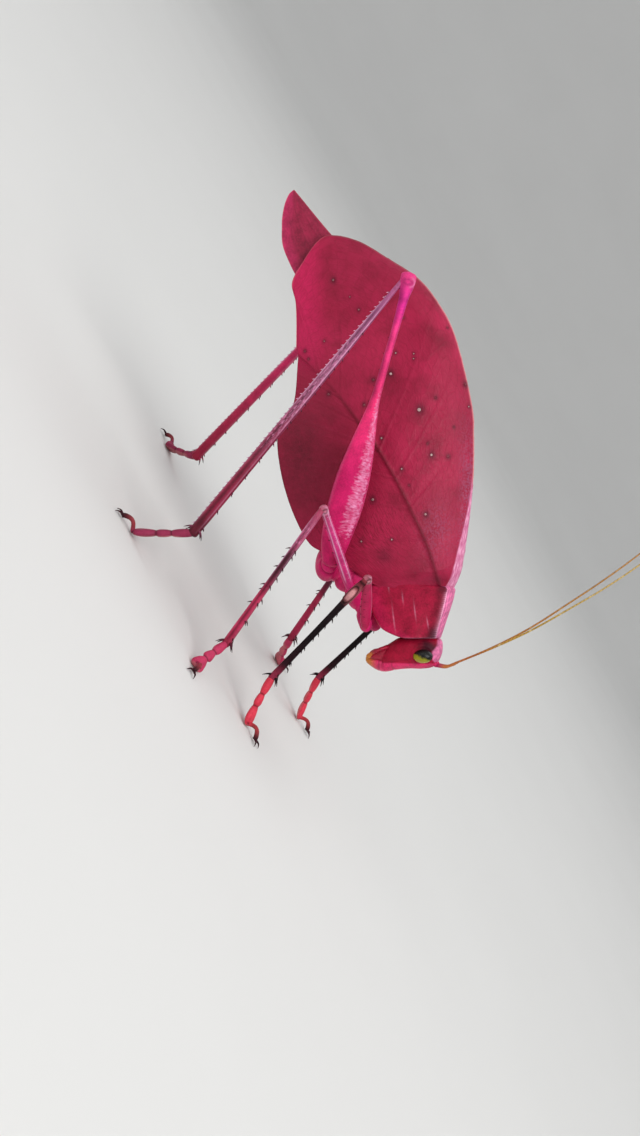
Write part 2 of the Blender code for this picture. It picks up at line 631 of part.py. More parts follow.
def build_antenna(side):
    """Short thick scape, then a thread that rises and leans outward to a fine tip."""
    start = mirrored(SCAPE_START, side)
    end = mirrored(SCAPE_END, side)
    length = (Vector(end) - Vector(start)).length
    stations = [(0.0, 0.0, SCAPE_RADIUS, SCAPE_RADIUS), (length, 0.0, SCAPE_RADIUS, SCAPE_RADIUS)]
    mesh = skin_rings("scape_" + side, lengthwise_rings(domed(stations), 8))
    scape = add_piece("scape_" + side, mesh, "golden", 0.4, body)
    aim(scape, start, end, (0, 1, 0))
    shares = np.linspace(0, 1, FLAGELLUM_POINTS)
    path = along(FLAGELLUM_PATH, shares)
    root = abs(ground_from_body(end)[1])
    spread = root + FLAGELLUM_SPREAD[side] * shares ** 1.5
    places = np.stack([path[:, 0], spread * SIDE_SIGN[side], path[:, 1]], axis=-1)
    radii = FLAGELLUM_RADIUS + (FLAGELLUM_TIP_RADIUS - FLAGELLUM_RADIUS) * shares ** 3
    mesh = curved_rod("antenna_" + side, places, radii)
    add_piece("antenna_" + side, mesh, "golden", 0.4, ground)


def build_tail():
    """Short upturned egg blade between two small cerci."""
    rings = path_rings(OVIPOSITOR_PATH, OVIPOSITOR_HALF_WIDTH, OVIPOSITOR_HALF_HEIGHT, 10)
    add_piece("ovipositor", skin_rings("ovipositor", rings), "dark red", 0.4, body)
    for side in SIDE_SIGN:
        path = [mirrored(place, side) for place in CERCUS_PATH]
        mesh = curved_rod("cercus_" + side, path, CERCUS_RADII)
        add_piece("cercus_" + side, mesh, "magenta", 0.45, body)


def scaled_profile(profile, length):
    """Stations of a limb of the given length from its profile by fractions."""
    return [(share * length, middle, half_width, half_depth)
            for share, middle, half_width, half_depth in profile]


def spine_meshes(name, rows, profile, length):
    """Cones in rows along a limb, leaning toward its far end, their roots sunk in it."""
    table = np.array(profile)
    spines = []
    for count, first, last, degrees, height in rows:
        angle = math.radians(degrees)
        for share in np.linspace(first, last, count):
            middle, half_width, half_depth = [np.interp(share, table[:, 0], table[:, column])
                                              for column in (1, 2, 3)]
            outward = Vector((0.0, math.sin(angle), math.cos(angle)))
            surface = Vector((share * length, half_width * outward[1],
                              middle + half_depth * outward[2]))
            way = (outward + Vector((SPINE_LEAN, 0.0, 0.0))).normalized()
            root = surface - way * SPINE_SUNK
            reach = height + SPINE_SUNK
            turn = Vector((0, 0, 1)).rotation_difference(way).to_matrix().to_4x4()
            shift = Matrix.Translation((root + way * reach / 2) * MM)
            shaped = bmesh.new()
            bmesh.ops.create_cone(shaped, cap_ends=True, cap_tris=False, segments=4,
                                  radius1=SPINE_BASE_RADIUS * MM, radius2=SPINE_TIP_RADIUS * MM,
                                  depth=reach * MM, matrix=shift @ turn)
            spine = bpy.data.meshes.new(name + "_spine")
            shaped.to_mesh(spine)
            shaped.free()
            spines.append(spine)
    return spines


def build_limb(kind, pair, side, start, end, profile, up, colour, roughness):
    """Femur or tibia along its own X axis, with its spines, placed between two joints."""
    name = f"{pair}_{kind}_{side}"
    length = (Vector(end) - Vector(start)).length
    stations = domed(scaled_profile(profile, length))
    mesh = skin_rings(name, lengthwise_rings(stations, LIMB_SIDES[kind][pair]))
    rows = SPINE_ROWS.get((kind, pair), [])
    spines = spine_meshes(name, rows, profile, length)
    if spines:
        mesh = join_pieces(mesh, spines)
    limb = add_piece(name, mesh, colour, roughness, ground)
    aim(limb, start, end, up)
    return limb


def build_coxa(pair, side):
    start, end, start_size, end_size = COXA[pair][:4]
    start = mirrored(start, side)
    end = mirrored(end, side)
    length = (Vector(end) - Vector(start)).length
    stations = [(0.0, 0.0, *start_size), (length, 0.0, *end_size)]
    name = f"{pair}_coxa_{side}"
    mesh = skin_rings(name, lengthwise_rings(domed(stations), 10))
    coxa = add_piece(name, mesh, "magenta", 0.45, body)
    aim(coxa, start, end, (0, 0, 1))


def build_tarsus(pair, side, ankle, toe, ankle_radius):
    """Foot that slopes from the ankle to a lobed pad on the floor, then rises to two claws."""
    name = f"{pair}_tarsus_{side}"
    run = math.dist(toe, ankle[:2])
    shares = np.linspace(0, 1, FOOT_SAMPLES)
    before_pad = np.clip(1 - shares / PAD_FRACTION, 0, 1)
    beyond_pad = np.clip((shares - PAD_FRACTION) / (1 - PAD_FRACTION), 0, 1)
    sloping = PAD_HEIGHT + (ankle[2] - PAD_HEIGHT) * before_pad ** FOOT_SLOPE_POWER
    arching = CLAW_RISE * np.sin(beyond_pad * math.pi)
    path = np.stack([shares * run, sloping + arching], axis=-1)
    steps_taken = np.linalg.norm(np.diff(path, axis=0), axis=1)
    length = np.concatenate([[0], np.cumsum(steps_taken)])
    table = np.array(TARSUS_PROFILE)
    first = ankle_radius + GAP
    places = first + (length[-1] - first) * table[:, 0]
    centres = np.stack([np.interp(places, length, path[:, axis]) for axis in (0, 1)], axis=-1)
    rings = np.array(path_rings(centres, table[:, 1], table[:, 2], 8))
    rings[..., 2] = np.maximum(rings[..., 2], 0.0)
    mesh = skin_rings(name, rings)
    tip = centres[-1]
    claws = []
    for sign in SIDE_SIGN.values():
        claw_path = [(tip[0] - CLAW_RADII[1], 0.0, tip[1]),
                     (tip[0] + CLAW_REACH * 0.6, sign * CLAW_SPLAY, tip[1] + CLAW_RADII[-1]),
                     (tip[0] + CLAW_REACH, sign * CLAW_SPLAY * 1.5, CLAW_RADII[-1])]
        claws.append(curved_rod(name + "_claw", claw_path, CLAW_RADII, 0))
    mesh = join_pieces(mesh, claws)
    tarsus = add_piece(name, mesh, "magenta", 0.4, ground)
    heading = math.atan2(toe[1] - ankle[1], toe[0] - ankle[0])
    tarsus.location = Vector((ankle[0], ankle[1], 0.0)) * MM
    tarsus.rotation_euler = (0.0, 0.0, heading)
    return tarsus


def build_leg(pair, side):
    """One leg from the hip out, each part starting a gap beyond the last one's rounded end."""
    knee, ankle, toe = LEG_POSE[pair, side]
    knee = Vector(knee)
    ankle = Vector(ankle)
    build_coxa(pair, side)
    femur_start = ground_from_body(mirrored(COXA[pair][4], side))
    femur_profile = FEMUR_PROFILE[pair]
    tibia_profile = TIBIA_PROFILE[pair]
    build_limb("femur", pair, side, femur_start, knee, femur_profile, (0, 0, 1), "magenta", 0.4)
    if pair == "hind":
        tibia_start = knee + Vector(HIND_KNEE_DROP)
    else:
        knee_reach = femur_profile[-1][3] + tibia_profile[0][3] + GAP
        tibia_start = knee + (ankle - knee).normalized() * knee_reach
    outer_edge = (-1, 0, -0.4)
    shade = "black" if pair == "front" else "magenta"
    build_limb("tibia", pair, side, tibia_start, ankle, tibia_profile, outer_edge, shade, 0.35)
    build_tarsus(pair, side, ankle, toe, tibia_profile[-1][3])


def centre_on_floor():
    """Shift the ground frame so that the bounding box is centred over the origin."""
    bpy.context.view_layer.update()
    corners = []
    for piece in model.objects:
        if piece.type == "MESH":
            corners += [piece.matrix_world @ corner.co for corner in piece.data.vertices]
    corners = np.array(corners)
    middle = (corners.min(axis=0) + corners.max(axis=0)) / 2
    ground.location = (-middle[0], -middle[1], 0.0)


clear_scene()
model = bpy.data.collections.new("katydid")
cutters = bpy.data.collections.new("cutters")
bpy.context.scene.collection.children.link(model)
bpy.context.scene.collection.children.link(cutters)
ground = make_empty("ground_frame", None)
body = make_empty("body_frame", ground)
body.location = (BODY_X * MM, 0.0, BODY_Z * MM)
body.rotation_euler = (0.0, BODY_PITCH, 0.0)

build_head()
build_labrum()
build_pronotum()
build_thorax()
build_abdomen()
build_tail()
for side in SIDE_SIGN:
    build_eye(side)
    build_mouth(side)
    build_antenna(side)
    build_tegmen(side)
    build_hindwing(side)
    for pair in COXA:
        build_leg(pair, side)
centre_on_floor()
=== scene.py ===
"""Leaf-mimic katydid, life size, standing on a pale floor: its skin, eyes, wings and legs.

Shapes are worked out in millimetres, the trunk, head and wings in the body frame (+X toward the
head, +Z toward the back) and the legs in the ground frame (Z = 0 on the floor).
"""
import math

import bmesh
import bpy
import numpy as np
from mathutils import Matrix, Vector


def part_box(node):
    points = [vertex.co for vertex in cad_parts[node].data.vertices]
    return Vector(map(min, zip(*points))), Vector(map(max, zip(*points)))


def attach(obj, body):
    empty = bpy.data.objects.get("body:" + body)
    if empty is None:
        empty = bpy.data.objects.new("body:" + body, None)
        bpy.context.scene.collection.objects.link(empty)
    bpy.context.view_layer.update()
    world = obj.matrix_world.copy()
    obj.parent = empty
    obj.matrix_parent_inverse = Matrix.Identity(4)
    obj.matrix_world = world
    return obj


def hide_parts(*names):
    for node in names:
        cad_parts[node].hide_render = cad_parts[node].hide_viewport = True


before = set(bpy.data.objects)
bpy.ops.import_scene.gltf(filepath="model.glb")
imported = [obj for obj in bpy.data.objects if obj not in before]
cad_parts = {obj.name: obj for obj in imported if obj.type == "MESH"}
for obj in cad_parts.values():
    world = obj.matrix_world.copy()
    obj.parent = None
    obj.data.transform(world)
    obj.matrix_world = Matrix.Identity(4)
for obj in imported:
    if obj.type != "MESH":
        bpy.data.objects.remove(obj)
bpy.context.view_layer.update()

# Stance. The whole animal is pitched head down on its six legs. The right eye's place in the
# frame fixes where the ground frame lies.
MM = 0.001
PITCH = math.radians(29.0)
BODY_PLACE = np.array([-0.78, 0.0, 0.83])
EYE_PLACE = np.array([3.87, 1.88, 20.85])


def ground_from_body(points):
    """Body frame to ground frame: a turn about Y by the pitch, then the body's place."""
    turn = np.array([[math.cos(PITCH), 0.0, math.sin(PITCH)], [0.0, 1.0, 0.0],
                     [-math.sin(PITCH), 0.0, math.cos(PITCH)]])
    return np.asarray(points, float) @ turn.T + BODY_PLACE


eye_low, eye_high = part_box("eye_right")
eye_middle = (np.array(eye_low) + np.array(eye_high)) / 2 / MM
GROUND_PLACE = eye_middle - ground_from_body(EYE_PLACE * (1.0, -1.0, 1.0))

# Trunk. Thorax and abdomen under one thin hard skin, grown as plates: three side seams on the
# thorax, nine overlapping rings on the abdomen, a soft fold along each flank with its air holes.
# Sections: x, middle height, half width and half height.
TRUNK = [(-1.4, 18.5, 1.8, 2.4), (-2.3, 18.5, 2.0, 2.6), (-3.05, 18.3, 2.15, 2.75),
         (-3.7, 17.75, 2.4, 3.35), (-4.3, 17.15, 2.55, 3.95), (-5.5, 16.95, 2.55, 4.15),
         (-7.0, 16.95, 2.45, 4.05), (-8.8, 16.85, 2.3, 3.3), (-9.3, 16.6, 2.3, 3.08),
         (-12.0, 15.9, 2.45, 3.15), (-16.0, 14.9, 2.4, 2.95), (-20.0, 13.9, 2.05, 2.45),
         (-23.0, 13.3, 1.5, 1.85), (-25.4, 13.0, 0.8, 1.05), (-25.75, 12.95, 0.45, 0.6)]
TRUNK_ROWS = 300
TRUNK_SIDES = 72
ABDOMEN_START = -9.1
RING_LENGTH = 1.81
RING_STEP = 0.055
THORAX_SEAMS = (-4.6, -6.3, -8.7)
# Side plates above the hips: middle and radii, for the left side.
SIDE_PLATES = [((-1.6, 1.8, 15.0), (1.5, 0.7, 1.1)), ((-3.55, 1.9, 13.9), (1.3, 1.1, 1.9)),
               ((-5.3, 2.1, 12.9), (1.9, 1.0, 2.2))]
SIDES = {"right": -1.0, "left": 1.0}
MAGENTA = np.array([0.60, 0.015, 0.13])
CRIMSON = np.array([0.38, 0.009, 0.045])
BELLY_PINK = np.array([0.52, 0.13, 0.17])


def blend(value, start, end):
    """Ease from 0 at start to 1 at end: the cubic 3 s squared less 2 s cubed."""
    share = np.clip((value - start) / (end - start), 0, 1)
    return share * share * (3 - 2 * share)


def bell(value, centre, width):
    """Hump of height 1: e to the minus square of the distance in widths."""
    return np.exp(-((value - centre) / width) ** 2)


def smooth_curve(points, steps=16):
    """Dense points of the cubic curve through the given ones, with their share of its length."""
    points = np.asarray(points, float)
    padded = np.vstack([2 * points[:1] - points[1:2], points, 2 * points[-1:] - points[-2:-1]])
    before, start, end, after = (padded[k:k + len(points) - 1, None] for k in range(4))
    share = np.linspace(0, 1, steps, endpoint=False)[None, :, None]
    curve = start + 0.5 * ((end - before) * share
                           + (2 * before - 5 * start + 4 * end - after) * share ** 2
                           + (3 * start - before - 3 * end + after) * share ** 3)
    curve = np.vstack([curve.reshape(-1, points.shape[1]), points[-1:]])
    length = np.concatenate([[0], np.cumsum(np.linalg.norm(np.diff(curve, axis=0), axis=1))])
    return curve, length / length[-1]


def along(points, shares):
    """Places at the given shares of the length of the cubic curve through the points."""
    curve, length = smooth_curve(points)
    return np.stack([np.interp(shares, length, column) for column in curve.T], axis=-1)


def read_sections(table, rows):
    """Columns of a table of sections, drawn out smoothly to so many rows."""
    return [column[:, None] for column in along(table, np.linspace(0, 1, rows)).T]


def mirror(points, sign):
    """Points given for the left side, on the side of the sign."""
    return np.array(points) * (1, sign, 1)


def round_oval(sides, power=2.0):
    """One turn of an oval: signed powers of the cosine and sine; above 2 it squares up."""
    turn = np.arange(sides) * 2 * math.pi / sides
    across = np.sign(np.cos(turn)) * np.abs(np.cos(turn)) ** (2 / power)
    lift = np.sign(np.sin(turn)) * np.abs(np.sin(turn)) ** (2 / power)
    return turn, across, lift


def ball_rings(rows, sides, gap=0.05):
    """Ball of radius 1 about the Y axis, in rings from a small gap short of pole to pole."""
    polar = np.linspace(gap, math.pi - gap, rows)[:, None]
    turn, across, lift = round_oval(sides)
    return np.stack([np.sin(polar) * across, np.cos(polar) + 0 * turn, np.sin(polar) * lift], -1)


def dye(tint, amount, colour=0.0):
    """Tint mixed with a colour, or darkened, by an amount for each ring or for each point."""
    amount = np.asarray(amount, float)
    amount = amount[:, None, None] if amount.ndim == 1 else amount[..., None]
    return tint * (1 - amount) + colour * amount


def tube_shell(rings, **marks):
    """Closed skin over rings: quads from ring to ring and a fan to each end's middle point."""
    rows, sides = rings.shape[:2]
    side = np.arange(sides)
    following = (side + 1) % sides
    start = (np.arange(rows - 1) * sides)[:, None]
    quads = np.stack([start + side, start + following,
                      start + sides + following, start + sides + side], -1).reshape(-1, 4)
    pole = rows * sides
    near = np.stack([following, side, np.full(sides, pole)], -1)
    far = np.stack([pole - sides + side, pole - sides + following, np.full(sides, pole + 1)], -1)

    def with_poles(values):
        values = np.asarray(values, float)
        values = values[..., None] if values.ndim == 2 else values
        values = np.broadcast_to(values, (rows, sides, values.shape[-1]))
        return np.concatenate([values.reshape(pole, -1), values[[0, -1]].mean(axis=1)])

    return (with_poles(rings), quads, np.concatenate([near, far]),
            {name: with_poles(value) for name, value in marks.items()})


def link_object(name, data):
    """New object that shows a mesh, a lamp or a camera, linked to the scene."""
    thing = bpy.data.objects.new(name, data)
    bpy.context.scene.collection.objects.link(thing)
    return thing


def make_piece(name, shells, material, nodes, from_body=True):
    """One mesh object of several closed skins, put in its place, riding on the frame. A mark
    that only the first skin has is 0 on the others."""
    points = np.concatenate([shell[0] for shell in shells])
    placed = ground_from_body(points) if from_body else points
    faces, offset = [], 0
    for shell_points, quads, fans, _ in shells:
        faces += (quads + offset).tolist() + (fans + offset).tolist()
        offset += len(shell_points)
    mesh = bpy.data.meshes.new(name)
    mesh.from_pydata(((placed + GROUND_PLACE) * MM).tolist(), [], faces)
    shaped = bmesh.new()
    shaped.from_mesh(mesh)
    bmesh.ops.recalc_face_normals(shaped, faces=shaped.faces)
    shaped.to_mesh(mesh)
    shaped.free()
    for mark, sample in shells[0][3].items():
        empty = np.zeros(sample.shape[1])
        values = np.concatenate([shell[3].get(mark, empty + 0 * shell[0][:, :1])
                                 for shell in shells])
        kind, field = ("FLOAT_VECTOR", "vector") if len(empty) == 3 else ("FLOAT", "value")
        if mark == "tint":
            kind, field = "FLOAT_COLOR", "color"
            values = np.concatenate([np.clip(values, 0, 1), np.ones((len(values), 1))], axis=1)
        layer = mesh.attributes.new(mark, kind, "POINT")
        layer.data.foreach_set(field, values.astype(np.float32).ravel())
    mesh.shade_smooth()
    mesh.materials.append(material)
    piece = link_object(name, mesh)
    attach(piece, "root")
    if nodes:
        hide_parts(*nodes)
    return piece


def feed(tree, socket, value):
    """Link a node's output to a socket, or set the socket's own number or colour."""
    if isinstance(value, bpy.types.NodeSocket):
        tree.links.new(value, socket)
    elif isinstance(value, (tuple, list, np.ndarray)):
        socket.default_value = (*value, 1.0)
    else:
        socket.default_value = value


def read_mark(tree, name, output="Fac"):
    node = tree.nodes.new("ShaderNodeAttribute")
    node.attribute_name = name
    return node.outputs[output]


def stretched(tree, place, scale):
    """Scale a place before a pattern reads it; Object coordinates are brought to millimetres."""
    mapping = tree.nodes.new("ShaderNodeMapping")
    scale = np.broadcast_to(scale, 3)
    if place is None:
        place = tree.nodes.new("ShaderNodeTexCoord").outputs["Object"]
        scale = scale / MM
    mapping.inputs["Scale"].default_value = scale.tolist()
    tree.links.new(place, mapping.inputs["Vector"])
    return mapping.outputs["Vector"]


def lumps(tree, scale, detail=3.0, place=None):
    """Cloudy pattern with so many lumps to the millimetre, over all or along each axis."""
    node = tree.nodes.new("ShaderNodeTexNoise")
    node.inputs["Scale"].default_value = 1.0
    node.inputs["Detail"].default_value = detail
    tree.links.new(stretched(tree, place, scale), node.inputs["Vector"])
    return node.outputs["Fac"]


def cell_walls(tree, scale, place=None):
    """Distance to the wall between neighbouring random cells, so many to the millimetre."""
    node = tree.nodes.new("ShaderNodeTexVoronoi")
    node.feature = "DISTANCE_TO_EDGE"
    node.inputs["Scale"].default_value = 1.0
    tree.links.new(stretched(tree, place, scale), node.inputs["Vector"])
    return node.outputs["Distance"]


def added(tree, first, second, operation="ADD"):
    """Sum of two patterns, or what another operation makes of them."""
    node = tree.nodes.new("ShaderNodeMath")
    node.operation = operation
    feed(tree, node.inputs[0], first)
    feed(tree, node.inputs[1], second)
    return node.outputs[0]


def remap(tree, value, low, high, new_low=0.0, new_high=1.0):
    node = tree.nodes.new("ShaderNodeMapRange")
    for socket, given in zip(node.inputs, (value, low, high, new_low, new_high)):
        feed(tree, socket, given)
    return node.outputs[0]


def darken(tree, colour, factor):
    """Colour times a grey that a pattern gives."""
    node = tree.nodes.new("ShaderNodeVectorMath")
    node.operation = "SCALE"
    tree.links.new(colour, node.inputs[0])
    feed(tree, node.inputs["Scale"], factor)
    return node.outputs[0]


def raise_bumps(tree, shader, height, depth, strength=1.0):
    """Relief on the surface from a pattern, its full height in millimetres."""
    node = tree.nodes.new("ShaderNodeBump")
    node.inputs["Strength"].default_value = strength
    node.inputs["Distance"].default_value = depth * MM
    feed(tree, node.inputs["Height"], height)
    tree.links.new(node.outputs[0], shader.inputs["Normal"])


def new_material(name, roughness, specular=0.25, coat=0.0):
    material = bpy.data.materials.new(name)
    material.use_nodes = True
    shader = material.node_tree.nodes["Principled BSDF"]
    shader.inputs["Roughness"].default_value = roughness
    shader.inputs["Specular IOR Level"].default_value = specular
    shader.inputs["Coat Weight"].default_value = coat
    shader.inputs["Coat Roughness"].default_value = 0.25
    return material, material.node_tree, shader


def skin_material(name, roughness, grain=5.0, mottle=0.25, relief=0.03, coat=0.0, specular=0.25):
    """Hard skin: the piece's own tint, mottled at two sizes, over a fine pebbled relief."""
    material, tree, shader = new_material(name, roughness, specular, coat)
    fine = lumps(tree, grain, 2.0)
    shade = added(tree, remap(tree, lumps(tree, 0.9, 4.0), 0.3, 0.7, 1 - mottle, 1 + mottle * 0.6),
                  remap(tree, fine, 0.3, 0.7, -0.5 * mottle, 0.4 * mottle))
    feed(tree, shader.inputs["Base Color"], darken(tree, read_mark(tree, "tint", "Color"), shade))
    feed(tree, shader.inputs["Roughness"],
         remap(tree, fine, 0.3, 0.7, roughness - 0.06, roughness + 0.1))
    raise_bumps(tree, shader, added(tree, cell_walls(tree, grain), fine), relief, 0.6)
    return material


trunk_x, trunk_middle, trunk_half, trunk_height = read_sections(TRUNK, TRUNK_ROWS)
_, across, lift = round_oval(TRUNK_SIDES, 2.2)
ring_share = (ABDOMEN_START - trunk_x) / RING_LENGTH
in_abdomen = blend(ring_share, -0.1, 0.1)
ring_share = ring_share % 1.0
swell = 1 - RING_STEP * in_abdomen * (1 - blend(ring_share, 0.0, 0.8))
slant = trunk_x + 0.3 * lift
for seam in THORAX_SEAMS:
    swell = swell - 0.05 * bell(slant, seam, 0.14)
flank = bell(lift, -0.42, 0.13) * in_abdomen
swell = swell - 0.05 * flank
trunk_rings = np.stack([trunk_x + 0 * across, trunk_half * swell * across,
                        trunk_middle + trunk_height * swell * lift], axis=-1)
under = blend(-lift, 0.3, 0.6)[None]
spiracle = bell(lift, -0.25, 0.05) * bell(ring_share, 0.45, 0.09) * in_abdomen
rear_edge = bell(ring_share, 0.93, 0.07) * in_abdomen
trunk_tint = dye(MAGENTA * 0.8, in_abdomen, dye(CRIMSON * 1.15, under, BELLY_PINK))
trunk_tint = dye(trunk_tint, 0.45 * rear_edge + 0.85 * spiracle + 0.3 * flank)
trunk_shells = [tube_shell(trunk_rings, tint=trunk_tint)]
ball = ball_rings(40, 64)
for middle, radii in SIDE_PLATES:
    for sign in SIDES.values():
        rings = mirror(middle, sign) + np.sign(ball) * np.abs(ball) ** 0.8 * radii
        crease = bell(rings[..., 2] - middle[2] + 0.4 * rings[..., 0], middle[0] * 0.4, 0.1)
        trunk_shells.append(tube_shell(rings, tint=dye(MAGENTA, 0.25 * crease)))
trunk_skin = skin_material("trunk_skin", 0.45)
make_piece("trunk", trunk_shells, trunk_skin, ["thorax", "abdomen"])

# Pronotum. The shield over the first ring: a low pale disc on top between two finely toothed
# ridges, and a deep crimson lobe down each side, all one hard plate with a rolled rim.
# Sections: x, top, the ridges' height and half width, and the lower edge.
PRONOTUM = [(-2.98, 23.68, 23.0, 1.83, 15.7), (-2.6, 23.72, 23.02, 1.86, 15.4),
            (-2.0, 23.65, 22.95, 1.86, 15.25), (-1.0, 23.37, 22.72, 1.8, 15.6),
            (0.2, 22.97, 22.42, 1.72, 16.1), (1.2, 22.65, 22.15, 1.66, 16.75),
            (1.85, 22.42, 22.0, 1.6, 18.0), (2.12, 22.3, 21.95, 1.55, 18.9)]
# Pale folds in the lobe's side: middle x and height, and half length.
LOBE_FOLDS = [(0.3, 18.05, 1.1), (-0.5, 20.1, 0.7), (0.6, 21.3, 0.45), (-1.6, 18.9, 0.4),
              (-2.5, 17.5, 0.4)]
PRONOTUM_ROWS = 110
LOBE_COLUMNS = 190
LOBE_HALF_WIDTH = 2.7
TOOTH_SPACING = 0.2
DISC_PINK = np.array([0.72, 0.17, 0.35])
RIM_PINK = np.array([0.86, 0.38, 0.56])
LOBE_RED = np.array([0.3496, 0.0072, 0.03825])
# Near-black red: painted shade below the pronotum's ridges and behind the eyes, and the dark of the
# wing's dots.
SHADE_AND_DOT_DARK = np.array([0.045, 0.004, 0.012])

shield = along(PRONOTUM, np.linspace(0, 1, PRONOTUM_ROWS))
shield_x, top, ridge_height, ridge_half, bottom = shield.T
none = 0 * top
crown_rise = top - ridge_height
half_profile = [(none, top), (ridge_half * 0.5, ridge_height + 0.8 * crown_rise),
                (ridge_half * 0.85, ridge_height + 0.35 * crown_rise),
                (ridge_half, ridge_height + 0.08), (ridge_half + 0.08, ridge_height - 0.1),
                (ridge_half + 0.3, ridge_height - 0.9), (none + 2.45, none + 20.3),
                (none + 2.62, none + 19.0), (none + LOBE_HALF_WIDTH, bottom + 1.6),
                (none + 2.6, bottom + 0.5), (none + 2.25, bottom + 0.05),
                (none + 1.5, bottom), (none, bottom)]
half_profile = np.array(half_profile).transpose(0, 2, 1).reshape(len(half_profile), -1)
half = along(half_profile, np.linspace(0, 1, LOBE_COLUMNS)).reshape(LOBE_COLUMNS, -1, 2)
half = half.transpose(1, 0, 2)
teeth = np.abs(np.sin(shield_x / TOOTH_SPACING * math.pi))[:, None]
on_ridge = bell(half[..., 0] - ridge_half[:, None], 0.03, 0.1) * blend(half[..., 1], 20.5, 21.0)
half = half + (on_ridge * teeth * 0.035)[..., None] * np.array([1.0, 0.5])
end_distance = np.minimum(np.arange(PRONOTUM_ROWS), np.arange(PRONOTUM_ROWS)[::-1])
rolled = 1 - 0.05 * np.exp(-end_distance / 1.5)
collar = 1 + 0.012 * bell(end_distance, 7, 3)
centre = np.stack([none, (top + bottom) / 2], axis=-1)[:, None]
half = centre + (half - centre) * (rolled * collar)[:, None, None]
other = half[:, -2:0:-1] * np.array([-1.0, 1.0])
profile = np.concatenate([half, other], axis=1)
hind_bulge = 0.45 * (1 - blend(shield_x, -3.0, 0.0))[:, None] * bell(profile[..., 1], 18.3, 2.6)
shield_rings = np.concatenate([(shield_x[:, None] - hind_bulge)[..., None], profile], axis=-1)
ridge_line = np.abs(profile[..., 0]) - ridge_half[:, None]
on_top = blend(profile[..., 1], 20.6, 21.0) * (1 - blend(ridge_line, -0.08, 0.06))
below_ridge = ridge_height[:, None] - profile[..., 1]
near_ridge = (1 - blend(below_ridge, 0.35, 1.3)) * (1 - on_top)
shadow = near_ridge * (0.25 + 0.6 * blend(shield_x, 0.4, 1.6)
                       + 0.45 * (1 - blend(shield_x, -2.8, -1.6)))[:, None]
rim = np.exp(-end_distance / 3.0)[:, None] * (1 - on_top) * blend(shield_x, -1.0, 0.0)[:, None]
folds = 0 * on_top
for fold_x, fold_z, reach in LOBE_FOLDS:
    run = shield_x[:, None] - fold_x
    folds = folds + bell(profile[..., 1] - 0.14 * run, fold_z, 0.06) * bell(run, 0.0, reach)
edge_line = bell(ridge_line, -0.02, 0.09) * blend(profile[..., 1], 20.6, 21.0)
edge_line = edge_line * blend(shield_x, -3.0, -2.0)[:, None]
streak = (0.16 * np.sin(profile[..., 0] * 17 + 1.6 * np.sin(shield_x[:, None] * 2.3))
          + 0.1 * np.sin(shield_x[:, None] * 8 + profile[..., 0] * 5))
low_glow = (1 - blend(profile[..., 1] - bottom[:, None], 0.0, 2.4))
shield_tint = LOBE_RED + low_glow[..., None] * MAGENTA * 0.35
for amount, colour in ((shadow, SHADE_AND_DOT_DARK), (np.maximum(rim * 0.6, folds * 0.4), RIM_PINK * 0.8),
                       (on_top, DISC_PINK), (edge_line, RIM_PINK)):
    shield_tint = dye(shield_tint, amount, colour)
shield_tint = dye(shield_tint, -streak * on_top)
red_skin = skin_material("red_skin", 0.45, grain=6.0, mottle=0.32, relief=0.05, specular=0.12)
make_piece("shield", [tube_shell(shield_rings, tint=shield_tint)], red_skin,
           ["pronotum"])

# Head. An upright wedge of hard skin, flat in front with a bright pink face, deep red cheeks,
# a pale crown, a raised rim round each eye and a stub socket for each antenna.
# Sections: height, back x, front x and half width.
HEAD = [(22.52, 2.75, 3.1, 0.35), (22.46, 2.4, 3.6, 0.75), (22.27, 2.15, 4.15, 1.1),
        (21.95, 2.05, 4.65, 1.4), (21.5, 2.0, 5.0, 1.65), (20.5, 2.0, 5.15, 1.95),
        (19.4, 2.0, 5.15, 2.05), (18.3, 2.1, 5.24, 1.92), (17.5, 2.55, 5.4, 1.65),
        (16.95, 2.9, 5.5, 1.4), (16.7, 3.05, 5.47, 1.25)]
HEAD_ROWS = 130
HEAD_SIDES = 96
HEAD_POWER = 2.5
SOCKET_PATH = [(4.3, 0.6, 21.3), (4.55, 0.62, 21.7), (4.74, 0.62, 22.05)]
FACE_PINK = np.array([0.78, 0.035, 0.15])
DARK_RED = np.array([0.13, 0.008, 0.022])
CHEEK = np.array([0.36, 0.007, 0.034])


def unit(vectors):
    """Vectors of length 1."""
    return vectors / np.linalg.norm(vectors, axis=-1, keepdims=True)


def tube(path, up, half_width, half_depth, sides):
    """Rings square to a path: its point, plus half width times the turn's cosine sideways,
    plus half depth times its sine along the direction nearest to up."""
    path = np.asarray(path, float)
    forward = unit(np.gradient(path, axis=0))
    sideways = unit(np.cross(np.asarray(up, float), forward))
    upward = np.cross(forward, sideways)
    _, across, lift = round_oval(sides)
    wide = np.reshape(half_width, (len(path), -1)) * across
    deep = np.reshape(half_depth, (len(path), -1)) * lift
    return path[:, None] + wide[..., None] * sideways[:, None] + deep[..., None] * upward[:, None]


def rod(path, radius, sides, up=(0, 1, 0)):
    """Tube of round rings."""
    return tube(path, up, radius, radius, sides)


def upright_rings(sections, rows, sides, middle_y=0.0, power=2.4):
    """Level rings from the top down, each an oval between a back x and a front x."""
    level, back, front, half_width = read_sections(sections, rows)
    _, across, lift = round_oval(sides, power)
    return np.stack([(back + front) / 2 + (front - back) / 2 * lift,
                     middle_y + half_width * across, level + 0 * across], axis=-1)


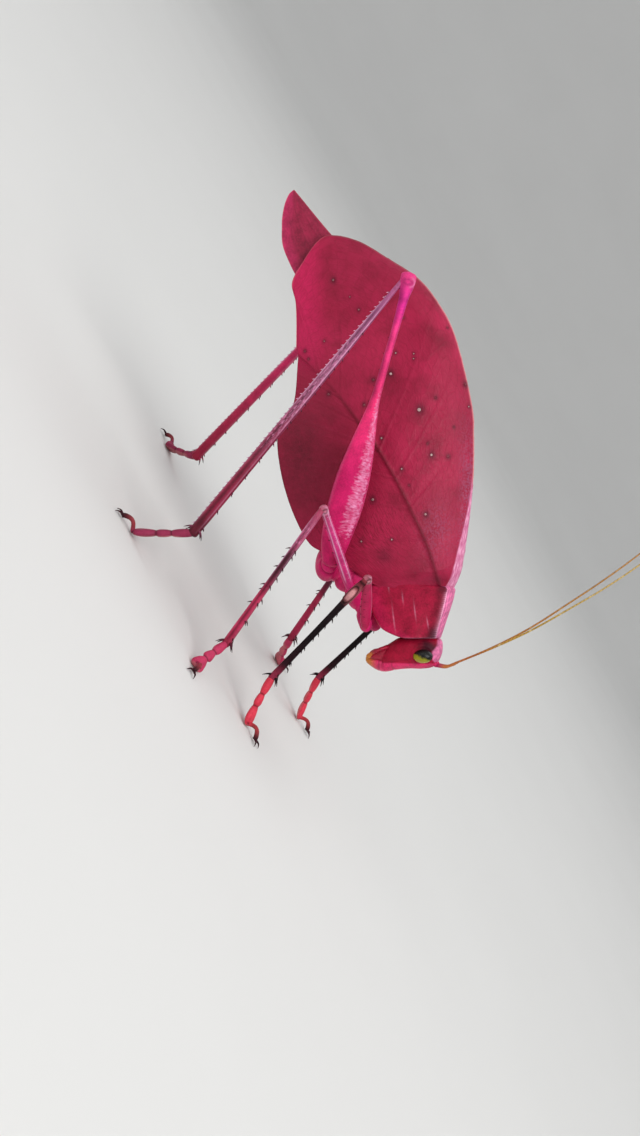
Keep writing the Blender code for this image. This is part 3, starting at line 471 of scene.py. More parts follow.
head_rings = upright_rings(HEAD, HEAD_ROWS, HEAD_SIDES, power=HEAD_POWER)
head_x, head_y, head_z = np.moveaxis(head_rings, -1, 0)
_, _, lift = round_oval(HEAD_SIDES, HEAD_POWER)
from_eye = np.sqrt((head_x - EYE_PLACE[0]) ** 2 + (np.abs(head_y) - EYE_PLACE[1]) ** 2
                   + (head_z - EYE_PLACE[2]) ** 2)
temple = blend(-lift, 0.1, 0.8) * blend(head_z, 18.4, 19.6) * (1 - blend(head_z, 21.3, 22.0))
head_y = head_y * (1 + 0.05 * bell(from_eye, 1.05, 0.14) + 0.13 * temple)
facing = blend(lift, 0.75, 0.97)
mid_groove = bell(head_y, 0.0, 0.07) * facing * blend(head_z, 18.0, 19.0)
side_groove = bell(np.abs(head_y) - 0.75 - 0.08 * (20.5 - head_z), 0.0, 0.08) * facing
mouth_groove = bell(head_z, 17.65 + 0.1 * lift, 0.08) * blend(lift, 0.2, 0.6)
cheek_groove = bell(head_x - 4.35 + 0.12 * (head_z - 18.5), 0.0, 0.08) * (1 - facing)
cheek_groove = cheek_groove * blend(20.0 - head_z, 0, 0.6)
grooves = mid_groove * 0.5 + side_groove + mouth_groove + cheek_groove * 0.8
head_x = head_x - 0.05 * grooves * facing - 0.03 * mouth_groove
head_y = head_y * (1 - 0.03 * cheek_groove)
head_rings = np.stack([head_x, head_y, head_z], axis=-1)
crown_level = 21.72 + 0.43 * (1 - blend(head_x, 2.7, 3.6)) + 0.25 * blend(head_x, 4.1, 4.7)
crown = blend(head_z - crown_level, -0.12, 0.13) * (1 - blend(head_x, 4.4, 4.8))
face = blend(head_x, 4.5, 4.72)
# Painted shadow on the head between the eye and the pronotum.
shadow_behind_eye = ((1 - blend(from_eye, 1.2, 2.3)) * (1 - blend(head_x, 3.2, 4.0))
              * blend(head_z, 20.0, 21.2))
head_tint = CHEEK
for amount, colour in ((face, FACE_PINK), (shadow_behind_eye * 0.95, SHADE_AND_DOT_DARK), (crown, DISC_PINK),
                       (0.35 * grooves, DARK_RED)):
    head_tint = dye(head_tint, amount, colour)
crown_streak = 0.12 * np.sin(head_y * 9 + 2 * np.sin(head_x * 5)) + 0.08 * np.sin(head_x * 13)
head_tint = dye(head_tint, -crown_streak * crown)
head_shells = [tube_shell(head_rings, tint=head_tint)]
for sign in SIDES.values():
    share = np.linspace(0, 1, 14)
    radius = 0.32 - 0.08 * share + 0.03 * bell(share, 0.88, 0.08)
    rings = rod(along(mirror(SOCKET_PATH, sign), share), radius, 24)
    head_shells.append(tube_shell(rings, tint=FACE_PINK * 0.9))
make_piece("head_skin", head_shells, red_skin, ["head"])

# Eyes. Smooth oval domes of tiny facets set in the sides of the head, yellow green below and in
# front, turning to glossy black above and behind.
EYE_RADII = np.array([0.68, 0.74, 0.97])
FACETS_PER_MM = 26.0
EYE_GREEN = (0.28, 0.25, 0.004)
EYE_GOLD = (0.42, 0.29, 0.02)
EYE_BLACK = (0.006, 0.006, 0.005)


def mix(tree, share, first, second):
    node = tree.nodes.new("ShaderNodeMix")
    node.data_type = "RGBA"
    feed(tree, node.inputs[0], share)
    feed(tree, node.inputs[6], first)
    feed(tree, node.inputs[7], second)
    return node.outputs[2]


eye_surface, tree, shader = new_material("eye_surface", 0.18, 0.25, coat=0.12)
level = added(tree, read_mark(tree, "front"), remap(tree, lumps(tree, 3.0), 0.3, 0.7, -0.12, 0.12))
eye_colour = mix(tree, remap(tree, level, -0.12, 0.16), EYE_BLACK, EYE_GREEN)
eye_colour = mix(tree, remap(tree, level, 0.35, 0.8), eye_colour, EYE_GOLD)
feed(tree, shader.inputs["Base Color"], eye_colour)
raise_bumps(tree, shader, cell_walls(tree, FACETS_PER_MM), 0.02, 0.5)
ball = ball_rings(56, 72, 0.04)
front = 0.86 * ball[..., 0] - 0.5 * ball[..., 2] - 0.12
for side, sign in SIDES.items():
    rings = mirror(EYE_PLACE, sign) + ball * EYE_RADII
    make_piece("eye_dome_" + side, [tube_shell(rings, front=front)], eye_surface,
               ["eye_" + side])

# Mouth. Upper lip, a red jaw each side and two pairs of jointed feelers, all of smooth horn with
# golden tips, hung from the lower edge of the face.
# Sections as for the head.
LABRUM = [(16.95, 4.0, 5.46, 1.0), (16.6, 4.05, 5.5, 1.06), (16.1, 4.05, 5.37, 1.0),
          (15.6, 4.05, 5.1, 0.85), (15.1, 4.0, 4.74, 0.58), (14.92, 4.05, 4.5, 0.34)]
MANDIBLE = [(17.1, 2.8, 4.5, 0.62), (16.75, 2.95, 4.45, 0.64), (16.3, 3.15, 4.4, 0.6),
            (15.8, 3.42, 4.3, 0.5), (15.35, 3.7, 4.2, 0.36), (15.08, 3.92, 4.15, 0.18)]
MANDIBLE_SIDE = 0.68
PALP_PATH = [(3.05, 1.1, 17.3), (3.15, 1.5, 16.85), (3.38, 1.6, 16.25), (3.7, 1.45, 15.65),
             (4.1, 1.15, 15.2)]
LIP_PALP_PATH = [(3.3, 0.4, 16.3), (3.4, 0.62, 15.8), (3.75, 0.6, 15.35), (4.0, 0.5, 15.12)]
JOINT_SHARES = (0.2, 0.42, 0.7)
GOLDEN = np.array([0.58, 0.21, 0.03])


def dome(run, least=0.02):
    """Height of a quarter circle, from 1 down to its end as the run goes from 0 to 1."""
    return np.sqrt(np.clip(1 - np.clip(run, 0, 1) ** 2, least, 1))


mouth_parts = skin_material("mouth_parts", 0.32, grain=8.0, mottle=0.3, relief=0.02, coat=0.15)
rings = upright_rings(LABRUM, 40, 48)
lip_line = bell(rings[..., 2], 16.35, 0.06)
rings[..., 0] -= 0.04 * lip_line
lower = 1 - blend(rings[..., 2], 15.1, 16.3)
tint = dye(dye(FACE_PINK, lower, GOLDEN), 0.5 * lip_line)
make_piece("upper_lip", [tube_shell(rings, tint=tint)], mouth_parts, ["labrum"])
for side, sign in SIDES.items():
    rings = upright_rings(MANDIBLE, 36, 32, MANDIBLE_SIDE * sign)
    tint = dye(CHEEK, 1 - blend(rings[..., 2], 15.15, 15.7), GOLDEN * 0.8)
    make_piece("jaw_" + side, [tube_shell(rings, tint=tint)], mouth_parts,
               ["mandible_" + side])
    palps = []
    for path, thickness in ((PALP_PATH, 0.2), (LIP_PALP_PATH, 0.14)):
        share = np.linspace(0, 1, 70)
        radius = thickness * (0.95 + 0.25 * blend(share, 0.75, 0.95)) * dome((share - 0.9) / 0.1)
        for joint in JOINT_SHARES:
            radius = radius * (1 - 0.28 * bell(share, joint, 0.025))
        rings = rod(along(mirror(path, sign), share), radius, 20)
        palps.append(tube_shell(rings, tint=dye(CHEEK, blend(share, 0.55, 0.9), GOLDEN * 1.1)))
    make_piece("mouth_feeler_" + side, palps, mouth_parts, ["palp_" + side])

# Antennae. A short thick root joint, a bead, then a golden-brown thread of hundreds of tiny
# rings that thins to a hair.
SCAPE_START = np.array([4.8, 0.62, 22.15])
SCAPE_END = np.array([4.9, 0.66, 22.95])
FLAGELLUM_PATH = [(14.72, 19.2), (15.2, 23.5), (15.46, 27.5), (15.4, 31.7), (15.25, 35.9),
                  (14.85, 40.0), (13.9, 46.0), (12.2, 54.0), (9.7, 62.0), (6.4, 69.98)]
FLAGELLUM_RADII = (0.11, 0.045)
FLAGELLUM_SPREAD = {"right": 4.5, "left": 6.5}
FLAGELLUM_LENGTH = 52.5
ANTENNA_ROWS = 1500
# How far each thread leans back behind the drawn path, and how golden it grows along it.
FLAGELLUM_LEAN = {"right": 0.0, "left": 1.0}
FLAGELLUM_GLOW = {"right": 1.0, "left": 0.3}
ANNULUS_LENGTH = 0.42
PALE_RING_SPACING = 3.4
THREAD_TAWNY = np.array([0.42, 0.13, 0.03])
THREAD_GOLD = np.array([0.48, 0.29, 0.05])
THREAD_PALE = np.array([0.70, 0.52, 0.22])

feeler = skin_material("feeler", 0.35, grain=9.0, mottle=0.2, relief=0.01)
for side, sign in SIDES.items():
    start, end = (ground_from_body(mirror(place, sign)) for place in (SCAPE_START, SCAPE_END))
    share = np.linspace(0, 1, ANTENNA_ROWS)
    drawn = along(FLAGELLUM_PATH, share)
    spread = abs(end[1]) + FLAGELLUM_SPREAD[side] * share ** 1.5
    lean = FLAGELLUM_LEAN[side] * blend(share, 0.0, 0.45) * (1 - 0.5 * blend(share, 0.6, 1.0))
    thread = np.stack([drawn[:, 0] - lean, sign * spread, drawn[:, 1]], axis=-1)
    mm_along = share * FLAGELLUM_LENGTH
    joint = bell((mm_along / ANNULUS_LENGTH) % 1.0, 0.5, 0.16)
    radius = FLAGELLUM_RADII[0] + (FLAGELLUM_RADII[1] - FLAGELLUM_RADII[0]) * share ** 0.8
    rings = rod(thread, radius * (1 - 0.12 * joint), 12)
    glow = FLAGELLUM_GLOW[side]
    pale_ring = bell((mm_along / PALE_RING_SPACING) % 1.0, 0.5, 0.05)
    pale = glow * (0.5 * blend(mm_along, 8.0, 16.0) + blend(mm_along, 3.0, 5.0) * pale_ring)
    tint = dye(THREAD_TAWNY, glow * blend(mm_along, 2.0, 7.0), THREAD_GOLD)
    tint = dye(dye(tint, np.clip(pale, 0, 1), THREAD_PALE), 0.35 * joint)
    shells = [tube_shell(rings, tint=tint)]
    share = np.linspace(0, 1, 60)
    root_path = along([start - (end - start) * 0.3, start, end, thread[0] + (end - start) * 0.1,
                       thread[12]], share)
    radius = 0.2 - 0.07 * share - 0.04 * bell(share, 0.64, 0.05) - 0.02 * bell(share, 0.9, 0.05)
    tint = dye(MAGENTA * 0.7, blend(share, 0.1, 0.5), THREAD_TAWNY * 1.1)
    shells.append(tube_shell(rod(root_path, radius, 28), tint=tint))
    make_piece("antenna_thread_" + side, shells, feeler,
               ["scape_" + side, "antenna_" + side], from_body=False)

# Tail. A short upturned egg blade of two valves pressed together, finely toothed at the tip,
# between two small tapering cerci.
OVIPOSITOR_PATH = [(-25.6, 12.8), (-26.2, 12.7), (-27.4, 12.6), (-28.6, 13.0), (-29.6, 13.9),
                   (-30.1, 14.9)]
OVIPOSITOR_SIZES = [(0.42, 0.72), (0.4, 0.75), (0.36, 0.83), (0.32, 0.74), (0.26, 0.48),
                    (0.1, 0.1)]
CERCUS_PATH = [(-24.9, 1.0, 13.4), (-25.3, 1.2, 13.6), (-26.2, 1.35, 14.0), (-27.0, 1.2, 14.3),
               (-27.6, 0.9, 14.4)]

share = np.linspace(0, 1, 120)
blade_x, blade_z = along(OVIPOSITOR_PATH, share).T
wide, deep = along(OVIPOSITOR_SIZES, share).T
_, _, lift = round_oval(40)
fine_teeth = 0.05 * np.abs(np.sin(share * 60))[:, None] * blend(share, 0.6, 0.75)[:, None]
rings = tube(np.stack([blade_x, 0 * share, blade_z], axis=-1), (0, 0, 1),
             wide[:, None] * (1 - 0.2 * bell(lift, 0.0, 0.14)),
             deep[:, None] + fine_teeth * np.abs(lift), 40)
tint = dye(dye(CRIMSON, 0.5 * share), 0.5 * bell(lift, 0.0, 0.12)[None])
make_piece("egg_blade", [tube_shell(rings, tint=tint)], trunk_skin, ["ovipositor"])
for side, sign in SIDES.items():
    share = np.linspace(0, 1, 50)
    rings = rod(along(mirror(CERCUS_PATH, sign), share), 0.27 - 0.2 * share ** 1.5, 20, (0, 0, 1))
    make_piece("tail_feeler_" + side, [tube_shell(rings, tint=dye(MAGENTA, 0.4 * share))],
               trunk_skin, ["cercus_" + side])

# Fore wings. Leathery leaf-shaped membranes with a sunken dark midrib, swept side veins and a
# net of fine cross veins raised in their own surface, a thin pale upper edge and small dots.
MAIN_VEIN = [(-2.3, 22.6), (-6.7, 21.3), (-10.1, 19.8), (-13.2, 18.3), (-16.9, 16.1),
             (-19.5, 14.1), (-22.8, 11.4), (-25.9, 8.1)]
DORSAL_MARGIN = [(-2.3, 23.3), (-4.1, 24.15), (-5.6, 24.5), (-8.4, 24.9), (-11.4, 25.25),
                 (-14.4, 25.45), (-17.7, 25.45), (-21.1, 25.2), (-27.8, 23.5), (-31.4, 21.6),
                 (-33.7, 19.6), (-35.6, 16.7), (-37.2, 14.0), (-37.9, 11.3), (-37.2, 9.8),
                 (-35.4, 8.5), (-33.2, 7.3), (-31.0, 7.7), (-26.6, 7.85)]
VENTRAL_MARGIN = [(-2.3, 21.9), (-2.35, 19.4), (-2.6, 17.2), (-3.7, 15.1), (-5.4, 12.8),
                  (-6.3, 10.9), (-7.2, 9.6), (-9.8, 8.15), (-13.1, 7.0), (-16.5, 6.4),
                  (-18.6, 6.6), (-21.0, 7.9), (-25.2, 8.1)]
WING_COLUMNS = 250
UPPER_ROWS = 104
LOWER_ROWS = 60
BRANCH_COUNT = 8
BRANCH_SWEEP = 2.2
CROSS_SPACING = 0.85
BELLY_HALF_WIDTH = 3.35
REAR_HALF_WIDTH = 1.4
EDGE_HALF_WIDTH = 0.08
TIP_HALF_WIDTH = 0.75
WING_THICKNESS = 0.34
WING_EDGE_THICKNESS = 0.14
# Dots of the membrane: place, size and how pale the pimple in the middle is.
DOTS = [(-20.2, 20.4, 0.42, 1.0), (-17.4, 16.8, 0.22, 1.0), (-15.8, 21.6, 0.3, 1.0),
        (-15.7, 23.1, 0.24, 0.1), (-14.4, 18.8, 0.2, 0.9), (-11.4, 16.0, 0.32, 0.5),
        (-10.0, 21.1, 0.28, 0.6), (-7.5, 17.9, 0.18, 1.0), (-7.3, 14.9, 0.2, 0.8),
        (-20.7, 25.0, 0.15, 1.0), (-20.7, 15.0, 0.25, 0.15), (-33.3, 11.5, 0.27, 0.3),
        (-30.3, 14.1, 0.18, 0.4), (-27.2, 10.7, 0.16, 0.4), (-25.9, 17.9, 0.18, 1.0),
        (-25.8, 19.7, 0.14, 1.0), (-25.3, 19.7, 0.14, 1.0), (-23.8, 17.5, 0.3, 1.0),
        (-22.9, 24.6, 0.26, 0.05), (-23.2, 15.8, 0.26, 0.1), (-21.8, 11.4, 0.24, 0.15),
        (-28.5, 22.8, 0.14, 0.1), (-26.2, 8.8, 0.2, 0.1), (-25.4, 9.2, 0.16, 0.1),
        (-16.9, 21.2, 0.15, 0.05), (-12.8, 19.5, 0.14, 0.1), (-31.6, 13.2, 0.12, 0.8),
        (-21.4, 21.9, 0.2, 0.0), (-18.6, 23.6, 0.16, 0.0), (-29.4, 18.6, 0.13, 0.1)]
# Membrane colours: the reds, a dark red for painted shade where the abdomen lies behind the wing, a
# bright red for painted light through it and for the pale streaks, a painted lavender sheen, then
# the veins, the pale edge and the pimples.
WING_RED = (0.33, 0.0085, 0.044)
WING_LIGHT = (0.43, 0.013, 0.064)
WING_DARK = np.array([0.20, 0.005, 0.025])
WING_ABDOMEN_SHADE = (0.115, 0.006, 0.018)
WING_BRIGHT = (0.56, 0.012, 0.09)
WING_SHEEN = (0.34, 0.075, 0.15)
VEIN_DARK = (0.12, 0.002, 0.012)
EDGE_PALE = (0.78, 0.26, 0.28)
PIMPLE_PALE = np.array([0.66, 0.46, 0.45])


def tent_half_width(x, z):
    """How far a fore wing stands from the mid plane: thin at the upper edge, then spreading by
    a power of the sine of the depth below it, wide over the belly and closing to the rear."""
    margin, _ = smooth_curve(DORSAL_MARGIN)
    upper = margin[:int(np.argmin(margin[:, 0])) + 1][::-1]
    depth = np.clip(np.interp(x, upper[:, 0], upper[:, 1]) - z, 0, None)
    closing = blend(-x, 17.0, 30.0)
    belly = BELLY_HALF_WIDTH + (REAR_HALF_WIDTH - BELLY_HALF_WIDTH) * closing
    edge = EDGE_HALF_WIDTH + (TIP_HALF_WIDTH - EDGE_HALF_WIDTH) * blend(-x, 34.0, 38.0)
    power = 0.45 + 0.35 * blend(-x, 4.0, 14.0)
    rise = np.sin(np.clip(depth / (8.0 - 5.0 * closing), 0, 1) * math.pi / 2) ** power
    return (edge + (belly - edge) * rise) * (1 - 0.19 * blend(x, -4.8, -2.9))


def times(tree, first, second):
    return added(tree, first, second, "MULTIPLY")


def to_whole(value):
    """Distance to the nearest whole number."""
    return np.abs((value + 0.5) % 1.0 - 0.5)


def plate_shell(grid, outer, inner, sign, **marks):
    """Thin closed plate about a grid of middle points: each face stands off along the grid's
    normal, the outer one by its own relief, with a rim of quads between the two."""
    normal = unit(np.cross(np.gradient(grid, axis=0), np.gradient(grid, axis=1)))
    normal = normal * (np.sign(normal[..., 1]) * sign)[..., None]
    rows, columns = grid.shape[:2]
    count = rows * columns
    points = np.concatenate([(grid + normal * outer[..., None]).reshape(-1, 3),
                             (grid - normal * inner[..., None]).reshape(-1, 3)])
    index = np.arange(count).reshape(rows, columns)
    face = np.stack([index[:-1, :-1], index[:-1, 1:], index[1:, 1:], index[1:, :-1]],
                    -1).reshape(-1, 4)
    around = np.concatenate([index[0], index[1:, -1], index[-1, -2::-1], index[-2:0:-1, 0]])
    onward = np.roll(around, -1)
    rim = np.stack([around, around + count, onward + count, onward], -1)
    quads = np.concatenate([face, face[:, ::-1] + count, rim])
    doubled = {name: np.concatenate([np.asarray(value, float).reshape(count, -1)] * 2)
               for name, value in marks.items()}
    return points, quads, np.zeros((0, 3), int), doubled


wing_u = np.linspace(0, 1, WING_COLUMNS)
main = along(MAIN_VEIN, wing_u)
upper_v = np.linspace(1, 0, UPPER_ROWS)[:, None, None] ** 1.15
lower_v = np.linspace(0, 1, LOWER_ROWS)[1:, None, None] ** 1.1
flat = np.concatenate([main + (along(DORSAL_MARGIN, wing_u) - main) * upper_v,
                       main + (along(VENTRAL_MARGIN, 1 - (1 - wing_u) ** BRANCH_SWEEP) - main)
                       * lower_v])
wing_v = np.concatenate([upper_v, -lower_v])[:, :, 0] + 0 * wing_u
wing_x, wing_z = flat[..., 0], flat[..., 1]
by_u = np.gradient(flat, axis=1) * (WING_COLUMNS - 1)
by_v = np.gradient(flat, axis=0) / np.gradient(wing_v, axis=0)[..., None]
area = np.abs(by_u[..., 0] * by_v[..., 1] - by_u[..., 1] * by_v[..., 0])
branch_gap = area / np.linalg.norm(by_v, axis=-1)
main_distance = np.abs(wing_v) * area / np.linalg.norm(by_u, axis=-1)
reach = np.abs(wing_v) * np.linalg.norm(by_v, axis=-1)
branch_place = wing_u * (BRANCH_COUNT + 0.7) - 0.7
branch_curve = branch_place + 0.10 * np.sin(np.abs(wing_v) * math.pi) * np.sign(wing_v)
to_branch = to_whole(branch_curve) * branch_gap / (BRANCH_COUNT + 0.7)
inside = (branch_curve > -0.5) & (branch_curve < BRANCH_COUNT - 0.5)
branch = bell(to_branch, 0.0, 0.13) * inside * (1 - 0.65 * np.abs(wing_v))
quarter = branch_curve * 4.0
small = bell(to_whole(quarter) * branch_gap / (BRANCH_COUNT + 0.7) / 4.0, 0.0, 0.08)
rung = reach / CROSS_SPACING + 0.618 * np.floor(quarter) + 0.4 * np.sin(quarter * 2.3)
cross = bell(to_whole(rung) * CROSS_SPACING, 0.0, 0.08)
midrib = bell(main_distance, 0.0, 0.2) * (1 - 0.75 * blend(wing_u, 0.6, 0.9))
upper_edge = (1 - wing_v) * np.linalg.norm(by_v, axis=-1)
lower_edge = (1 + wing_v) * np.linalg.norm(by_v, axis=-1)
from_margin = np.minimum(np.where(wing_v > 0, upper_edge, lower_edge), 6.0)
thick = blend(from_margin, 0.0, 1.2)
quilt = np.abs(np.sin(branch_curve * math.pi)) * blend(from_margin, 0.3, 3.0)
outer_face = (WING_EDGE_THICKNESS / 2 + (WING_THICKNESS - WING_EDGE_THICKNESS) / 2 * thick
              + 0.15 * midrib + 0.07 * branch + 0.015 * small + 0.012 * cross + 0.05 * quilt - 0.04)
inner_face = (WING_EDGE_THICKNESS + (WING_THICKNESS - WING_EDGE_THICKNESS) * thick) / 2
# Painted shade: the membrane is darker where the abdomen lies behind it and blocks the light
# through it, and a little darker over its rear end.
belly = (bell(wing_x, -16.0, 7.5) * bell(wing_z, 8.6, 3.6)
         + 0.3 * blend(-wing_x, 30.0, 35.0) * blend(wing_z, 9.5, 12.5))
# Painted light: the membrane is brighter where light shines through it with no body behind it, low
# at the front and along the lower rear.
bright = (bell(wing_x, -6.2, 3.4) * bell(wing_z, 10.6, 2.7)
          + blend(-wing_x, 22.5, 27.0) * (1 - blend(wing_z - 0.08 * (wing_x + 37.0), 8.2, 11.0)))
# Painted sheen: a lavender-grey sheen along the upper part of the membrane.
haze = (blend(wing_v, 0.62, 0.93) * bell(wing_x, -11.5, 6.5)
        + 0.6 * bell(wing_x, -8.5, 3.0) * bell(wing_z, 22.2, 1.6))
pale_edge = ((1 - blend(upper_edge * (wing_v > 0) + 9.0 * (wing_v <= 0), 0.05, 0.16))
             * (1 - 0.8 * blend(-wing_x, 31.0, 36.0)))
striae = bell(wing_x, -8.0, 4.5) * bell(wing_z, 15.5, 4.0)
strip_width = 0.95 - 0.7 * blend(-wing_x, 5.5, 13.0)
dorsal_strip = ((1 - blend(-wing_x, 12.0, 14.5))
                * (1 - blend(upper_edge + 9.0 * (wing_v <= 0) - strip_width, -0.1, 0.1)))
dot_dark = 0 * wing_x
for dot_x, dot_z, size, _ in DOTS:
    distance = np.hypot((wing_x - dot_x) * 0.8, wing_z - dot_z)
    dot_dark = np.maximum(dot_dark, bell(distance, 0.0, size * 1.15))
blot = (bell(np.hypot(wing_x + 5.9, wing_z - 17.2), 0.0, 0.85)
        + bell(np.hypot((wing_x + 3.7) * 1.6, (wing_z - 22.1) * 0.8), 0.0, 0.8))
net_place = np.stack([branch_curve * 4.2, wing_v * 13.0, 0 * wing_v], axis=-1)
strip_place = np.stack([wing_x, upper_edge, 0 * wing_x], axis=-1)

fore_wing, tree, shader = new_material("fore_wing", 0.5, 0.2)
net = read_mark(tree, "net_place", "Vector")
striae_here = read_mark(tree, "striae")
speckle = lumps(tree, 5.0, 3.0)
grain = lumps(tree, 1.7, 4.0)
walls = cell_walls(tree, 1.0, net)
fine_walls = cell_walls(tree, 3.1, net)
fibres = remap(tree, lumps(tree, (1.2, 9.0, 1.0), 3.0, net), 0.47, 0.62)
pale_lines = remap(tree, lumps(tree, (1.0, 7.0, 1.0), 4.0, net), 0.6, 0.72)
strip_streaks = lumps(tree, (1.3, 9.0, 1.0), 3.0, read_mark(tree, "strip_place", "Vector"))
strip_colour = mix(tree, remap(tree, strip_streaks, 0.42, 0.66), DISC_PINK * 0.8, RIM_PINK)
# Layers of the membrane's colour, from the lowest: how much of each shows, and its colour. The
# third is painted light through the membrane, the fourth painted shade where the abdomen lies
# behind it, the fifth a painted sheen.
LAYERS = [
    (remap(tree, lumps(tree, 0.22, 5.0), 0.36, 0.66), WING_LIGHT),
    (remap(tree, lumps(tree, 0.35, 4.0), 0.5, 0.72, 0, 0.75), WING_DARK),
    (times(tree, read_mark(tree, "bright"), remap(tree, grain, 0.3, 0.6, 0.75, 1.0)), WING_BRIGHT),
    (times(tree, read_mark(tree, "belly"), remap(tree, grain, 0.3, 0.6, 0.8, 1.0)), WING_ABDOMEN_SHADE),
    (times(tree, read_mark(tree, "haze"), remap(tree, speckle, 0.42, 0.6)), WING_SHEEN),
    (times(tree, remap(tree, walls, 0.0, 0.06, 1.0, 0.0), 0.22), WING_DARK),
    (remap(tree, fine_walls, 0.0, 0.09, 0.16, 0.0), WING_LIGHT),
    (times(tree, fibres, added(tree, times(tree, striae_here, 0.65), 0.22)), WING_DARK),
    (times(tree, pale_lines, striae_here), WING_BRIGHT),
    (times(tree, read_mark(tree, "rib"), 0.74), VEIN_DARK),
    (read_mark(tree, "strip"), strip_colour), (read_mark(tree, "pale_edge"), EDGE_PALE),
    (read_mark(tree, "dots"), SHADE_AND_DOT_DARK)]
colour = WING_RED
for amount, paint in LAYERS:
    colour = mix(tree, amount, colour, paint)
feed(tree, shader.inputs["Base Color"], colour)
feed(tree, shader.inputs["Roughness"], remap(tree, speckle, 0.35, 0.65, 0.42, 0.58))
relief = added(tree, remap(tree, walls, 0.0, 0.1, 0.8, 0.0), times(tree, speckle, 0.7))
raise_bumps(tree, shader, added(tree, relief, times(tree, fine_walls, 0.6)), 0.022, 0.7)
pimple_ball = ball_rings(9, 14) * (1, 0.45, 1)
for side, sign in SIDES.items():
    grid = np.stack([wing_x, tent_half_width(wing_x, wing_z) * sign, wing_z], axis=-1)
    membrane = plate_shell(
        grid, outer_face, inner_face, sign, belly=belly, bright=np.clip(bright, 0, 1),
        haze=np.clip(haze, 0, 1),
        rib=np.clip(midrib + 0.12 * branch, 0, 1), strip=dorsal_strip, striae=striae,
        pale_edge=pale_edge * (1 - dorsal_strip), net_place=net_place, strip_place=strip_place,
        dots=np.clip(dot_dark * 0.75 + 0.45 * blot, 0, 0.9))
    make_piece("fore_wing_" + side, [membrane], fore_wing, ["tegmen_" + side])
    pimples = []
    for dot_x, dot_z, size, paleness in DOTS:
        middle = np.array([dot_x, sign * (tent_half_width(dot_x, dot_z) + 0.2), dot_z])
        tint = PIMPLE_PALE * (0.5 + 1.2 * size) * paleness + WING_DARK * (1 - paleness)
        pimples.append(tube_shell(middle + pimple_ball * size * 0.42, tint=tint))
    make_piece("wing_pimples_" + side, pimples, mouth_parts, [])

# Hind wings. A thin pleated membrane folded like a fan between the fore wings; only the pointed
# tip stands out behind them.
HINDWING_TOP = [(-5.2, 22.5), (-9.0, 22.3), (-14.0, 22.8), (-20.0, 22.6), (-26.0, 20.9),
                (-30.5, 18.4), (-34.5, 14.6), (-37.9, 11.2), (-42.7, 7.2)]
HINDWING_LOW = [(-5.2, 21.7), (-9.0, 20.9), (-14.0, 19.2), (-20.0, 17.3), (-25.0, 16.4),
                (-29.5, 16.2), (-31.6, 13.0), (-32.4, 8.8), (-36.4, 6.3), (-39.1, 5.95),
                (-41.0, 6.15), (-42.2, 6.6), (-42.65, 7.05)]
FOLD_PLACES = (0.26, 0.5, 0.74)
FAN_HALF_WIDTH = 0.2
FAN_RED = np.array([0.31, 0.013, 0.052])
FAN_GLOW = np.array([0.46, 0.02, 0.10])
FAN_RIM = np.array([0.2, 0.06, 0.07])

hind_u = np.linspace(0, 1, 200)
hind_v = np.linspace(0, 1, 80)[:, None, None]
hind_top, hind_low = along(HINDWING_TOP, hind_u), along(HINDWING_LOW, hind_u)
fan = hind_low + (hind_top - hind_low) * hind_v
hind_width = np.linalg.norm(hind_top - hind_low, axis=-1)
across_fan = hind_v[..., 0] + 0 * hind_u
fold = 0 * across_fan
for place in FOLD_PLACES:
    fold = fold + bell((across_fan - place) * hind_width, 0.0, 0.12)
fine_fold = 0.5 + 0.5 * np.cos(across_fan * 2 * math.pi * 12)
fan_edge = np.minimum(across_fan, 1 - across_fan) * hind_width
tip_edge = np.hypot(fan[..., 0] + 42.6, fan[..., 1] - 7.0)
fan_thick = blend(np.minimum(fan_edge, tip_edge), 0.0, 0.8)
hind_outer = 0.05 + 0.1 * fan_thick + (0.03 * fold + 0.008 * fine_fold) * fan_thick
hind_inner = 0.05 + 0.08 * fan_thick
glow = (1 - blend(fan_edge, 0.0, 1.6)) * (1 - blend(across_fan, 0.4, 0.6))
hind_tint = dye(FAN_RED, 0.55 * glow) + FAN_GLOW * (0.8 * glow)[..., None]
# Painted shade along the folds of the pleats.
hind_tint = dye(hind_tint, 0.06 * fold + 0.03 * fine_fold)
hind_tint = hind_tint + FAN_RIM * (1 - blend(fan_edge, 0.0, 0.14))[..., None]
hind_wing = skin_material("hind_wing", 0.42, grain=5.0, mottle=0.3, relief=0.03)
for side, sign in SIDES.items():
    grid = np.stack([fan[..., 0], FAN_HALF_WIDTH * sign + 0 * fan[..., 0], fan[..., 1]], axis=-1)
    membrane = plate_shell(grid, hind_outer, hind_inner, sign, tint=hind_tint)
    make_piece("hind_wing_" + side, [membrane], hind_wing, ["hindwing_" + side])

# Hips. A thick magenta root joint under the body for each leg, bent outward through a narrow
# ring into the base of the thigh.
# Each hip's sections: middle point, half width and half depth.
COXA = {
    "front": [(-0.2, 0.9, 15.0, 0.5, 0.5), (-0.1, 1.5, 14.85, 0.72, 0.7),
              (0.95, 2.75, 15.3, 0.64, 0.6), (0.85, 3.6, 15.35, 0.42, 0.42)],
    "mid": [(-2.0, 0.8, 14.4, 1.2, 0.8), (-2.0, 1.5, 14.2, 1.4, 0.98),
            (-2.35, 3.0, 14.0, 1.0, 0.8), (-2.85, 4.1, 13.9, 0.42, 0.42)],
    "hind": [(-5.3, 0.8, 11.9, 1.5, 1.1), (-5.3, 1.7, 11.5, 1.85, 1.35),
             (-4.7, 3.5, 11.45, 1.3, 1.05), (-5.3, 5.3, 12.3, 0.68, 0.68)],
}
FEMUR_BASE = {"front": (0.75, 3.85, 15.4), "mid": (-2.95, 4.3, 13.9), "hind": (-5.4, 5.45, 12.4)}

